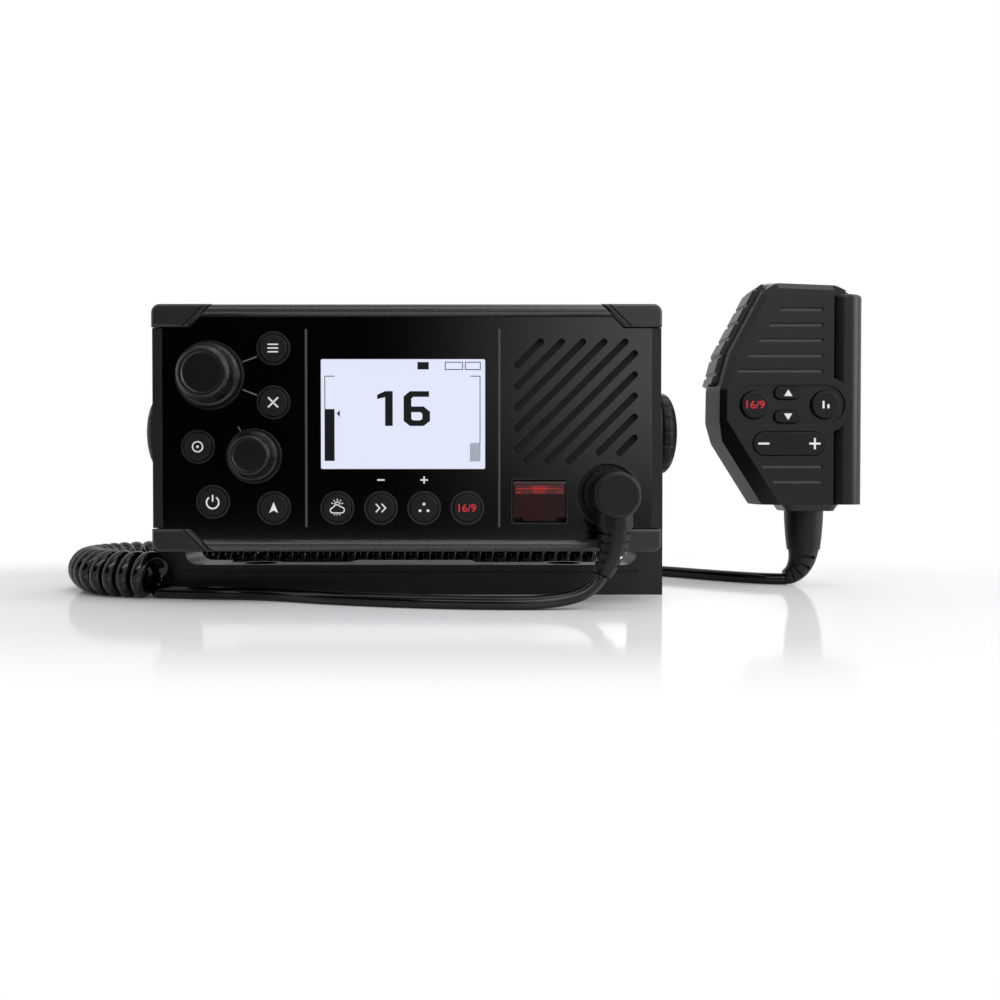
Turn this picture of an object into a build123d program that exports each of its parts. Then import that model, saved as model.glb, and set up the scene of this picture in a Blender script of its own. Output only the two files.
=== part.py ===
from build123d import *
import math
import os

# VHF marine radio in its gimbal bracket, with a hand microphone on a curly cord.
# Millimetres. X to the viewer's right, the front faces -Y, Z up.
# Origin: midway between the bracket's two screw holes, on the surface that the bracket stands on.

# ---- driving dimensions: front case and face ----
panel_width = 192.0
panel_height = 93.2
panel_gap_below = 19.5
panel_face_y = -41.0
front_case_depth = 26.0
rear_taper_depth = 10.0
rear_taper_inset = 6.0
case_corner_r = 3.2
case_wall = 2.4
side_strip = 3.6
face_thickness = 2.5
trim_height = 4.7
trim_length = 156.0
trim_proud = 2.0
trim_depth = 11.0
corner_cap_height = 8.9
corner_cap_inner = 82.1
seam_gap = 0.3
rear_rim = 4.0
rear_opening_margin = 8.6

# ---- display ----
window_width = 61.9
window_height = 41.3
window_x = -1.45
window_rise = 5.35
window_clearance = 0.05
window_corner_r = 0.6
lcd_border = 3.4
lcd_thickness = 4.6
divider_width = 0.8
divider_height = 74.7
divider_xs = (-38.0, 34.9)
divider_proud = 0.25

# ---- keys on the face: x from the centre, height from the middle of the panel ----
key_r = 5.3
key_clearance = 0.3
key_ring_width = 0.8
key_ring_proud = 0.5
key_proud = 1.0
key_travel = 0.8
key_flange_r = 6.1
key_flange_thickness = 0.8
key_stem_r = 2.0
key_edge_r = 0.5
key_back_gap = 0.2
stem_gap = 0.05
key_places = {
    "menu_key": (-50.3, 30.1),
    "cancel_key": (-50.3, 9.7),
    "info_key": (-78.8, -7.0),
    "power_key": (-73.2, -27.8),
    "mark_key": (-50.2, -30.1),
    "weather_key": (-26.3, -30.1),
    "scan_key": (-9.8, -30.1),
    "watch_key": (6.5, -30.1),
    "call_channel_key": (22.8, -30.1),
}

# ---- rotary knobs ----
channel_knob_place = (-74.3, 19.9)
channel_knob_r = 12.0
channel_knob_height = 12.0
channel_flutes = 30
volume_knob_place = (-57.6, -10.5)
volume_knob_r = 9.5
volume_knob_height = 10.5
volume_flutes = 24
knob_push = 0.6
knob_foot_gap = 0.3
knob_head_inset = 0.5
knob_ring_width = 0.9
shaft_r = 3.0
shaft_clearance = 0.06
cup_r = 5.0
cup_length = 3.5
encoder_side = 13.0
encoder_wall = 1.0
encoder_gap = 0.1
encoder_hole_clearance = 0.3
face_shaft_clearance = 1.0

# ---- loudspeaker and its slots ----
speaker_x = 63.65
speaker_rise = 9.95
grille_width = 44.4
grille_height = 45.2
slot_width = 2.5
slot_pitch = 7.97
slot_count = 12
slot_keep_out = 16.0
speaker_r = 22.0
speaker_depth = 15.0
speaker_magnet_r = 13.0
speaker_flange = 3.0
speaker_basket = 5.0
screen_thickness = 0.5
screen_margin = 1.5

# ---- distress key under its cover ----
distress_x = 50.05
distress_rise = -27.55
distress_width = 21.7
distress_height = 17.5
distress_wall = 0.7
distress_proud = 0.9
distress_floor = 1.1
cover_clearance = 0.3
cover_thickness = 1.5
cover_pin_r = 0.6
cover_knuckle_r = 1.15
distress_button_width = 14.0
distress_button_height = 8.6
distress_travel = 1.0
distress_corner_r = 1.2
distress_stem_r = 2.4
distress_stem_clearance = 0.15
cover_pin_clearance = 0.05
flap_gap_below = 2.0
flap_lip = 1.4
flap_lip_share = 0.64
flap_behind_pin = 0.6
pin_proud = 0.3
button_edge_r = 0.5
button_corner_r = 1.6
button_gap = 0.1

# ---- microphone socket and plug ----
socket_place = (75.9, -24.8)
socket_r = 11.4
socket_ring_width = 1.2
socket_recess = 1.5
socket_barrel_r = 7.2
socket_barrel_length = 7.5
socket_bore_r = 5.6
socket_depth = 18.0
plug_r = 8.4
plug_proud = 28.0
plug_body_length = 18.6
plug_tail_r = 6.7
plug_tail_drop = 11.7
ring_r = 9.8
ring_flutes = 24
ring_clearance = 0.08
boot_end_x = 71.4
boot_end_z = 12.5
boot_end_r = 3.4
boot_curve = 1.9
boot_groove_height = 1.1
boot_groove_offset = 4.9
plug_edge_r = 1.5
ring_gap = 0.1
lead_cut_x = 68.0
lead_length = 3.6

# ---- boards behind the face ----
board_thickness = 1.6
front_board_y = -33.0
mat_thickness = 1.0
mat_gap = 0.3
dome_r = 2.5
dome_height = 0.6
board_edge_gap = 0.4
board_side_gap = 1.4
mat_hole_clearance = 0.4
mat_margin = 2.0
tab_margin = 1.0

# ---- chassis ----
chassis_width = 176.0
chassis_height = 68.0
chassis_depth = 84.0
chassis_wall = 3.0
chassis_corner_r = 4.0
flange_side = 1.5
flange_edge = 6.0
flange_thickness = 3.0
gasket_thickness = 1.0
gasket_width = 5.4
fin_depth = 6.0
fin_thickness = 2.0
fin_pitch = 8.0
fin_count = 19
main_board_rise = 16.0
main_board_length = 66.0
board_post_r = 3.5
case_screw_r = 1.5
case_screw_head_r = 2.7
case_screw_side_x = 76.0
fitting_places = {
    "antenna_socket": (-56.0, 11.0),
    "satellite_antenna_socket": (-26.0, 7.0),
    "network_socket": (4.0, 9.0),
    "data_gland": (34.0, 9.0),
    "power_gland": (62.0, 10.0),
}
fitting_hole_step = 2.0
fitting_clearance = 0.05
antenna_socket_r = 7.9
antenna_socket_length = 17.0
antenna_bore_r = 5.2
antenna_bore_depth = 12.0
antenna_core_r = 3.6
antenna_core_inset = 2.0
antenna_contact_r = 2.0
antenna_contact_depth = 9.0
inlet_length = 11.0
inlet_step = 1.6
inlet_wall = 1.4
inlet_depth = 7.0
inlet_pin_r = 1.5
inlet_pin_inset = 2.0
gland_nut_step = 0.6
gland_neck_r = 6.0
screw_hole_clearance = 0.2
screw_head_height = 2.0
fin_end_gap = 4.0
board_post_x = 70.0
board_edge_room = 4.0
board_post_inset = (12.0, 2.0)
shield_can = (60.0, 44.0, 10.0)
shield_can_place = (-38.0, 36.0)
heat_sink = (50.0, 36.0, 8.0)
heat_sink_place = (42.0, 38.0)
fitting_flange = 2.2
fitting_row_rise = 15.0
gland_nut_length = 5.0
gland_cable_r = 3.0

# ---- gimbal bracket ----
washer_thickness = 3.5
arm_thickness = 10.4
arm_web = 4.0
arm_rim = 2.6
arm_head_r = 18.0
base_front_y = -11.0
base_depth = 27.0
base_waist_depth = 15.0
base_height = 12.1
base_skin = 3.0
lip_height = 1.8
groove_height = 1.2
groove_depth = 0.8
tongue_half = 24.5
shoulder_half = 78.0
inside_fillet = 5.0
pivot_y = 7.0
mount_spacing = 126.0
mount_hole_r = 3.2
mount_counterbore_r = 7.0
mount_floor = 4.0
boss_wall = 2.5

# ---- gimbal knobs ----
gimbal_knob_r = 16.8
gimbal_grip_width = 6.3
gimbal_dome = 2.6
gimbal_flutes = 18
stud_r = 4.0
stud_clearance = 0.06
stud_reach = 20.0
knob_gap = 0.1
washer_r = 12.0
insert_r = 6.5
insert_length = 10.0
insert_end_wall = 1.0
insert_boss_wall = 3.0

# ---- cord ----
cord_r = 2.5
coil_r = 9.25
rear_cord_end_x = 164.0

# ---- hand microphone ----
mic_y = 31.0
mic_depth = 36.0
mic_wall = 2.2
mic_seam = 0.3
mic_front_bevel = 2.6
mic_low_bevel = 4.4
mic_back_bevel = 2.6
mic_front_taper = 10.0
mic_back_taper = 15.5
mic_corner_r = 7.5
mic_foot_r = 3.0
mic_plate_edge_x = 179.2
mic_valley_depth = 6.5
mic_column_x = 186.4
mic_column_y = 25.5
mic_column_r = 8.5
mic_column_top_z = 126.8
mic_column_edge_r = 1.5
mic_pod_r = 8.5
mic_pod_depth = 1.0
mic_bulge_r = 11.8
mic_key_r = 5.9
mic_key_edge_r = 0.7
mic_key_flange = 1.0
mic_key_flange_thickness = 0.6
mic_bar_edge_r = 0.4
mic_key_travel = 0.8
mic_key_proud = 0.9
mic_key_clearance = 0.3
rocker_bead_r = 1.0
rocker_bead_clearance = 0.05
rocker_seat_gap = 0.2
mic_slot_height = 1.5
mic_slot_depth = 1.0
mic_slot_slant = 0.65
mic_slot_inset = 3.8
mic_slot_end_x = 174.7
mic_slot_pitch = 6.55
mic_top_slot_z = 119.3
mic_low_slot_z = 52.2
mic_boot_x = 172.2
mic_boot_r = 8.4
mic_boot_top_z = 33.0
mic_boot_waist_z = 15.8
mic_boot_end_r = 3.2
ptt_travel = 1.8
ptt_depth = 20.0
ptt_thickness = 4.5
ptt_proud = 0.3
ptt_gap = 0.5
ptt_edge = 1.2
ptt_notch_r = 0.9
ptt_notch_pitch = 7.5
hanger_r = 8.0
hanger_neck_r = 3.0
mic_screw_r = 1.2
mic_screw_head_r = 2.4
mic_screw_boss_r = 3.6
mic_screw_sink = 3.5
mic_screw_head_height = 1.5
mic_screw_reach = 6.0
hanger_proud = 5.0
hanger_thickness = 2.6
hanger_socket_depth = 9.0
mic_board_y = 25.0
mic_board_gap = 0.5
mic_dome_gap = 0.2
mic_dome_r = 1.8
mic_bar_flange = 0.8
mic_bar_sink = 0.3
rocker_sink = 0.4
rocker_seat_wall = 1.0
hanger_boss_wall = 2.5
hanger_floor = 0.6
hanger_button_sink = 1.6
mic_speaker_r = 13.5
mic_speaker_depth = 6.0
mic_collar_size = (25.0, 22.0)
mic_collar_corner_r = 5.0
mic_collar_taper = 35.0
mic_neck_r = 5.0
mic_neck_length = 6.0

# ---- derived places ----
panel_mid_z = panel_gap_below + panel_height / 2
panel_top_z = panel_gap_below + panel_height
panel_half = panel_width / 2
face_back_y = panel_face_y + face_thickness
case_back_y = panel_face_y + front_case_depth
taper_start_y = case_back_y - rear_taper_depth
trim_end_y = panel_face_y + trim_depth
trim_front_y = panel_face_y - trim_proud
gasket_back_y = case_back_y + gasket_thickness
chassis_back_y = gasket_back_y + chassis_depth
chassis_half = chassis_width / 2
arm_inner = chassis_half + washer_thickness + knob_gap
bracket_half_width = arm_inner + arm_thickness
pivot_z = panel_mid_z
knob_lift = knob_push + knob_foot_gap
base_back_y = base_front_y + base_depth

parts = {}


# ---- helpers ----
def facing(y):
    """A plane facing the viewer at depth y: its own x is X and its own y is Z."""
    return Plane(origin=(0, y, 0), x_dir=(1, 0, 0), z_dir=(0, -1, 0))


def beside(x):
    """A plane across the radio at x: its own x is Y and its own y is Z."""
    return Plane(origin=(x, 0, 0), x_dir=(0, 1, 0), z_dir=(1, 0, 0))


def slab(sketch, y_front, y_back):
    """The sketch, drawn in X and Z, as a solid from y_front to y_back."""
    return extrude(facing(y_back) * sketch, y_back - y_front)


def disc(place, r, y_front, y_back):
    return slab(Pos(place[0], place[1]) * Circle(r), y_front, y_back)


def ring(place, r_out, r_in, y_front, y_back):
    return slab(Pos(place[0], place[1]) * (Circle(r_out) - Circle(r_in)), y_front, y_back)


def block(x0, x1, z0, z1, y_front, y_back, r=0.0):
    """A box between these limits, its corners rounded as seen from the front."""
    shape = RectangleRounded(x1 - x0, z1 - z0, r) if r else Rectangle(x1 - x0, z1 - z0)
    return slab(Pos((x0 + x1) / 2, (z0 + z1) / 2) * shape, y_front, y_back)


def outline(points):
    return make_face(Polyline(*points, close=True))


def rod(x0, x1, y, z, r):
    """A round bar along X."""
    return extrude(beside(min(x0, x1)) * Pos(y, z) * Circle(r), abs(x1 - x0))


def on_panel(place):
    """A place given from the middle of the panel, as X and Z."""
    return place[0], panel_mid_z + place[1]


def turned_profile(points, place):
    """A solid turned about an axis along Y at place, from points of (radius, y)."""
    face = Plane.XY * make_face(Polyline(*points, close=True))
    return Pos(place[0], 0, place[1]) * revolve(face, Axis.Y)


def fluted(solid, place, r, count, flute_r, y_front, y_back):
    """The solid with a ring of grooves along Y."""
    spot = Pos(place[0], place[1]) * PolarLocations(r, count)
    return solid - slab(Sketch() + [at * Circle(flute_r) for at in spot], y_front, y_back)


def tube(points, r, name):
    """A round cord along straight runs joined by tangent arcs."""
    spots = [Vector(*p) for p in points]
    radii = []
    for before, here, after in zip(spots, spots[1:], spots[2:]):
        into, out = here - before, after - here
        half = math.radians(into.get_angle(out)) / 2
        radii.append(0.45 * min(into.length, out.length) / math.tan(half))
    path = FilletPolyline(*spots, radius=radii)
    print(name, "length", round(path.length, 1), "radii", [round(v, 1) for v in radii])
    start = Plane(origin=path @ 0, z_dir=path % 0)
    return sweep(start * Circle(r), path=path)


def tapered_boot(stations):
    """A boot through round sections, each (point, direction, radius)."""
    faces = [Plane(origin=at, z_dir=way) * Circle(r) for at, way, r in stations]
    return loft(Sketch() + faces)


# ---- front case, face and trims ----
cap_low_z = panel_gap_below + corner_cap_height
cap_high_z = panel_top_z - corner_cap_height
trim_half = trim_length / 2


def face_outline(margin=0.0):
    """The face between the trims, with its corners cut back round the caps."""
    side = panel_half - side_strip - margin
    inner = corner_cap_inner - margin
    low, high = panel_gap_below + trim_height + margin, panel_top_z - trim_height - margin
    cap_low, cap_high = cap_low_z + margin, cap_high_z - margin
    knee = inner - (corner_cap_height - trim_height)
    right = [
        (knee, low), (inner, cap_low), (side, cap_low),
        (side, cap_high), (inner, cap_high), (knee, high),
    ]
    left = [(-x, z) for x, z in reversed(right)]
    return outline(right + left)


def trim_outline():
    """The lower trim bar, its ends slanting along the corner caps."""
    top = corner_cap_inner - (corner_cap_height - trim_height) - seam_gap
    bottom = corner_cap_inner - corner_cap_height - seam_gap
    z_top = panel_gap_below + trim_height
    return outline([(-top, z_top), (-bottom, panel_gap_below), (bottom, panel_gap_below), (top, z_top)])


def cap_outline():
    """The lower right corner cap, seen from the front."""
    inner, low, high = corner_cap_inner, panel_gap_below, cap_low_z
    points = [(inner - corner_cap_height, low), (panel_half, low), (panel_half, high), (inner, high)]
    return fillet(outline(points).vertices().sort_by(Axis.X)[-2:].sort_by(Axis.Y)[0], case_corner_r)


def mirrored_x(solid):
    return mirror(solid, Plane.YZ)


def mirrored_z(solid):
    """Mirrored about the level plane through the middle of the panel."""
    return mirror(solid, Plane.XY.offset(panel_mid_z))


def make_trims():
    bar = slab(trim_outline(), trim_front_y, trim_end_y)
    front_edges = bar.edges().filter_by(Axis.X).group_by(Axis.Y)[0]
    bar = fillet(front_edges, trim_height * 0.42)
    parts["trim_bars"] = [bar, mirrored_z(bar)]

    lowered = slab(cap_outline(), trim_front_y, trim_end_y)
    above = cap_low_z - seam_gap
    cap = lowered - block(0, panel_half + 1, above, above + 5, trim_front_y - 1, trim_end_y + 1)
    front = cap.faces().sort_by(Axis.Y)[0]
    cap = chamfer(front.edges(), trim_proud * 0.45)
    slant = Pos(corner_cap_inner - corner_cap_height / 2 + 2.6, panel_gap_below + corner_cap_height / 2)
    seam = slant * Rot(0, 0, 45) * Rectangle(corner_cap_height * 3, 0.5)
    cap -= slab(seam, trim_front_y - 1, trim_front_y + 0.9)
    cap = cap.solids().sort_by(SortBy.VOLUME)[-1]
    parts["corner_caps"] = [cap, mirrored_x(cap), mirrored_z(cap), mirrored_x(mirrored_z(cap))]


def case_screw_places():
    """Two rows of screws through the chassis flange, clear of the chassis walls."""
    row = chassis_height / 2 + case_screw_head_r + 0.3
    return [(x, panel_mid_z + z) for x in (-case_screw_side_x, 0, case_screw_side_x) for z in (-row, row)]


def make_front_case():
    body_face = Pos(0, panel_mid_z) * RectangleRounded(panel_width, panel_height, case_corner_r)
    case = slab(body_face, panel_face_y, taper_start_y)
    taper = math.degrees(math.atan2(rear_taper_inset, rear_taper_depth))
    back = Plane(origin=(0, taper_start_y, 0), x_dir=(-1, 0, 0), z_dir=(0, 1, 0))
    case += extrude(back * body_face, rear_taper_depth, taper=taper)
    rim_y = case_back_y - rear_rim
    case -= slab(face_outline(), panel_face_y - 1, face_back_y)
    case -= slab(face_outline(case_wall), face_back_y - 1, rim_y)
    opening_x = panel_half - rear_opening_margin - case_wall
    opening_z = chassis_height / 2 - case_wall
    low, high = panel_mid_z - opening_z, panel_mid_z + opening_z
    case -= block(-opening_x, opening_x, low, high, rim_y - 1, case_back_y + 1)
    trim_cut = slab(trim_outline(), panel_face_y - 1, trim_end_y)
    cap_cut = slab(cap_outline(), panel_face_y - 1, trim_end_y)
    trim_top = panel_gap_below + trim_height
    trim_cut += block(-trim_half, trim_half, panel_gap_below, trim_top, panel_face_y - 1, trim_end_y)
    case -= trim_cut + mirrored_z(trim_cut)
    for cut in (cap_cut, mirrored_x(cap_cut), mirrored_z(cap_cut), mirrored_x(mirrored_z(cap_cut))):
        case -= cut
    for place in case_screw_places():
        case -= disc(place, case_screw_r, rim_y + 0.6, case_back_y + 1)
    parts["front_case"] = case


def slot_ends():
    """The two ends of each slanting slot, clipped to the grille and kept off the socket."""
    cx, cz = on_panel((speaker_x, speaker_rise))
    x0, x1 = cx - grille_width / 2, cx + grille_width / 2
    z0, z1 = cz - grille_height / 2, cz + grille_height / 2
    sx, sz = on_panel(socket_place)
    found = []
    for i in range(slot_count):
        shift = (cx - cz) + (i - (slot_count - 1) / 2) * slot_pitch
        low, high = max(x0, z0 + shift), min(x1, z1 + shift)
        # the line z = x - shift leaves the ring round the socket at its larger x
        b = sx + sz + shift
        inside = b * b - 2 * (sx * sx + (sz + shift) ** 2 - slot_keep_out ** 2)
        if inside > 0:
            leave = (b + math.sqrt(inside)) / 2
            reach = (b - math.sqrt(inside)) / 2
            if reach < low < leave or low < reach < leave < high:
                low = leave
        if high - low > slot_width * 0.4:
            found.append(((low, low - shift), (high, high - shift)))
    return found


def make_face_panel():
    face = slab(face_outline(), panel_face_y, face_back_y)
    wx, wz = on_panel((window_x, window_rise))
    half_w, half_h = window_width / 2 + window_clearance, window_height / 2 + window_clearance
    cut_from, cut_to = panel_face_y - 1, face_back_y + 1
    face -= block(wx - half_w, wx + half_w, wz - half_h, wz + half_h, cut_from, cut_to, window_corner_r)
    for place in key_places.values():
        face -= disc(on_panel(place), key_r + key_clearance, panel_face_y - 1, face_back_y + 1)
    for place in (channel_knob_place, volume_knob_place):
        face -= disc(on_panel(place), shaft_r + face_shaft_clearance, panel_face_y - 1, face_back_y + 1)
    face -= disc(on_panel(socket_place), socket_r, panel_face_y - 1, face_back_y + 1)
    dx, dz = on_panel((distress_x, distress_rise))
    half_w, half_h = distress_width / 2, distress_height / 2
    face -= block(dx - half_w, dx + half_w, dz - half_h, dz + half_h, cut_from, cut_to, distress_corner_r)
    slots = Sketch()
    for (xa, za), (xb, zb) in slot_ends():
        length = math.hypot(xb - xa, zb - za)
        spot = Pos((xa + xb) / 2, (za + zb) / 2) * Rot(0, 0, 45)
        slots += spot * SlotCenterToCenter(length, slot_width)
    face -= slab(slots, panel_face_y - 1, face_back_y + 1)
    for x in divider_xs:
        face -= divider(x)
    parts["face_panel"] = face

    bars = [divider(x) for x in divider_xs]
    parts["divider_bars"] = bars

    cover = window_width / 2, window_height / 2
    parts["display_window"] = block(
        wx - cover[0], wx + cover[0], wz - cover[1], wz + cover[1], panel_face_y, face_back_y, window_corner_r
    )
    border = lcd_border
    parts["lcd_module"] = block(
        wx - cover[0] - border, wx + cover[0] + border, wz - cover[1] - border, wz + cover[1] + border,
        face_back_y, face_back_y + lcd_thickness,
    )


def divider(x):
    half = divider_height / 2
    return block(
        x - divider_width / 2, x + divider_width / 2, panel_mid_z - half, panel_mid_z + half,
        panel_face_y - divider_proud, panel_face_y + 0.4,
    )


def make_panel_rings():
    rings = []
    proud_y = panel_face_y - key_ring_proud
    for place in key_places.values():
        inner = key_r + key_clearance
        rings.append(ring(on_panel(place), inner + key_ring_width, inner, proud_y, panel_face_y))
    for place, r in ((channel_knob_place, channel_knob_r), (volume_knob_place, volume_knob_r)):
        rings.append(ring(on_panel(place), r + knob_ring_width, r + 0.15, proud_y - 0.7, panel_face_y))
    rings.append(ring(on_panel(socket_place), socket_r + socket_ring_width, socket_r, proud_y, panel_face_y))
    parts["panel_rings"] = rings


# ---- keys and knobs ----
def make_keys():
    front_y = panel_face_y - key_proud
    for name, spot in key_places.items():
        place = on_panel(spot)
        flange_y = face_back_y + key_back_gap
        cap = disc(place, key_r, front_y, flange_y)
        cap = fillet(cap.faces().sort_by(Axis.Y)[0].edges(), key_edge_r)
        cap += disc(place, key_flange_r, flange_y, flange_y + key_flange_thickness)
        stem_end = front_board_y - dome_height - key_travel - stem_gap
        cap += disc(place, key_stem_r, flange_y, stem_end)
        parts[name] = cap


def mat_y():
    return face_back_y + key_back_gap + key_flange_thickness + key_travel + mat_gap


def make_boards():
    low, high = cap_low_z + case_wall + board_edge_gap, cap_high_z - case_wall - board_edge_gap
    left = -(panel_half - side_strip - case_wall - board_side_gap)
    lcd_left = window_x - window_width / 2 - lcd_border
    lcd_bottom = panel_mid_z + window_rise - window_height / 2 - lcd_border
    row_right = max(x for x, _ in key_places.values()) + key_flange_r + mat_margin

    mat_right = lcd_left - mat_margin
    shape = Pos((left + mat_right) / 2, (low + high) / 2) * Rectangle(mat_right - left, high - low)
    row_high = lcd_bottom - mat_margin
    shape += Pos((left + row_right) / 2, (low + row_high) / 2) * Rectangle(row_right - left, row_high - low)
    for place in key_places.values():
        x, z = on_panel(place)
        shape -= Pos(x, z) * Circle(key_stem_r + mat_hole_clearance)
    for place in (channel_knob_place, volume_knob_place):
        x, z = on_panel(place)
        shape -= Pos(x, z) * Rectangle(encoder_side + 1, encoder_side + 1)
    parts["keypad_mat"] = slab(shape, mat_y(), mat_y() + mat_thickness)

    board_right = speaker_x - speaker_r - 3.0
    board = Pos((left + board_right) / 2, (low + high) / 2) * Rectangle(board_right - left, high - low)
    dx, dz = on_panel((distress_x, distress_rise))
    tab_right = dx + distress_width / 2 + tab_margin
    tab_top = dz + distress_height / 2 + tab_margin
    board += Pos((left + tab_right) / 2, (low + tab_top) / 2) * Rectangle(tab_right - left, tab_top - low)
    board = slab(board, front_board_y, front_board_y + board_thickness)
    for place in key_places.values():
        board += disc(on_panel(place), dome_r, front_board_y - dome_height, front_board_y)
    parts["front_board"] = board


def knob_profile(r, height):
    """The stepped profile of a rotary knob, as (radius, distance out from its foot)."""
    return [
        (0, 0), (r, 0), (r, 2.6), (r * 0.97, 3.2), (r * 0.9, 3.6), (r * 0.87, 4.2),
        (r * 0.82, height - 1.4), (r * 0.76, height - 0.4), (r * 0.70, height),
        (r * 0.64, height), (r * 0.6, height - knob_head_inset), (0, height - knob_head_inset),
    ]


def make_rotary(name, spot, r, height, flutes):
    place = on_panel(spot)
    foot_y = panel_face_y - knob_lift
    points = [(rad, foot_y - out) for rad, out in knob_profile(r, height)]
    knob = turned_profile(points, place)
    knob = fluted(knob, place, r * 0.88 + 0.35, flutes, 0.55, foot_y - height + 0.9, foot_y - 4.0)
    shaft_front = foot_y - height + 3.0
    body_front = face_back_y + encoder_gap
    cup_front = body_front + encoder_wall + encoder_gap
    cup_back = cup_front + cup_length
    shaft_back = cup_back - 1.0
    shaft = disc(place, shaft_r, shaft_front, shaft_back)
    knob -= disc(place, shaft_r, shaft_front, foot_y + 1)
    parts[name + "_knob"] = [knob, shaft]
    cup = disc(place, cup_r, cup_front, cup_back)
    parts[name + "_push_cup"] = cup - disc(place, shaft_r + shaft_clearance, cup_front - 1, shaft_back + 0.1)
    x, z = place
    half = encoder_side / 2
    housing = block(x - half, x + half, z - half, z + half, body_front, front_board_y)
    housing -= disc(place, cup_r + shaft_clearance, body_front + encoder_wall, front_board_y + 1)
    return housing - disc(place, shaft_r + encoder_hole_clearance, body_front - 1, front_board_y)


def make_knobs():
    first = make_rotary("channel", channel_knob_place, channel_knob_r, channel_knob_height, channel_flutes)
    second = make_rotary("volume", volume_knob_place, volume_knob_r, volume_knob_height, volume_flutes)
    parts["front_board"] = [parts["front_board"], first, second]


# ---- distress key ----
def make_distress():
    cx, cz = on_panel((distress_x, distress_rise))
    half_w, half_h = distress_width / 2, distress_height / 2
    front_y = panel_face_y - distress_proud
    floor_y = front_board_y - 0.7
    frame = block(cx - half_w, cx + half_w, cz - half_h, cz + half_h, front_y, floor_y, distress_corner_r)
    in_w, in_h = half_w - distress_wall, half_h - distress_wall
    frame -= block(cx - in_w, cx + in_w, cz - in_h, cz + in_h, front_y - 1, floor_y - distress_floor, 0.6)
    stem_hole_r = distress_stem_r + distress_stem_clearance
    frame -= disc((cx, cz), stem_hole_r, floor_y - distress_floor - 1, floor_y + 1)
    pin_z = cz + in_h - cover_knuckle_r - cover_clearance
    pin_y = front_y + cover_knuckle_r - pin_proud
    pin = rod(cx - half_w, cx + half_w, pin_y, pin_z, cover_pin_r)
    parts["distress_frame"] = [frame - pin, pin]

    flap_w = in_w - cover_clearance
    back_y = pin_y + cover_knuckle_r
    plate_back = pin_y + flap_behind_pin
    plate_front = plate_back - cover_thickness
    flap_low = cz - in_h + flap_gap_below
    flap = block(cx - flap_w, cx + flap_w, flap_low, pin_z, plate_front, plate_back)
    flap += rod(cx - flap_w, cx + flap_w, pin_y, pin_z, cover_knuckle_r)
    lip_w = flap_w * flap_lip_share
    flap += block(cx - lip_w, cx + lip_w, flap_low - flap_lip, flap_low + 1, plate_front, plate_back, 0.4)
    flap -= rod(cx - half_w, cx + half_w, pin_y, pin_z, cover_pin_r + cover_pin_clearance)
    parts["distress_cover"] = flap

    button_back = floor_y - distress_floor - distress_travel - button_gap
    button_front = back_y + 0.6
    bw, bh = distress_button_width / 2, distress_button_height / 2
    button = block(cx - bw, cx + bw, cz - bh, cz + bh, button_front, button_back, button_corner_r)
    button = fillet(button.faces().sort_by(Axis.Y)[0].edges(), button_edge_r)
    button += disc((cx, cz), distress_stem_r, button_back - 0.5, front_board_y - distress_travel - button_gap)
    parts["distress_button"] = button


# ---- loudspeaker, socket and plug ----
def make_speaker():
    cx, cz = on_panel((speaker_x, speaker_rise))
    w, h = grille_width / 2 + screen_margin, grille_height / 2 + screen_margin
    sx, sz = on_panel(socket_place)
    screen = block(cx - w, cx + w, cz - h, cz + h, face_back_y, face_back_y + screen_thickness)
    screen -= disc((sx, sz), socket_r + 1.4, face_back_y - 1, face_back_y + 2)
    parts["grille_screen"] = screen
    front_y = face_back_y + screen_thickness
    rim_y = front_y + speaker_flange
    magnet_y = rim_y + speaker_basket
    frame = disc((cx, cz), speaker_r, front_y, rim_y)
    points = [(0, rim_y), (speaker_r - 1.5, rim_y), (speaker_magnet_r, magnet_y), (0, magnet_y)]
    frame += turned_profile(points, (cx, cz))
    frame += disc((cx, cz), speaker_magnet_r, magnet_y, front_y + speaker_depth)
    bowl = [
        (0, front_y - 1), (speaker_r - 2, front_y - 1), (speaker_r - 2, front_y + 1),
        (6, front_y + 5), (0, front_y + 5),
    ]
    parts["speaker"] = frame - turned_profile(bowl, (cx, cz))


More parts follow.
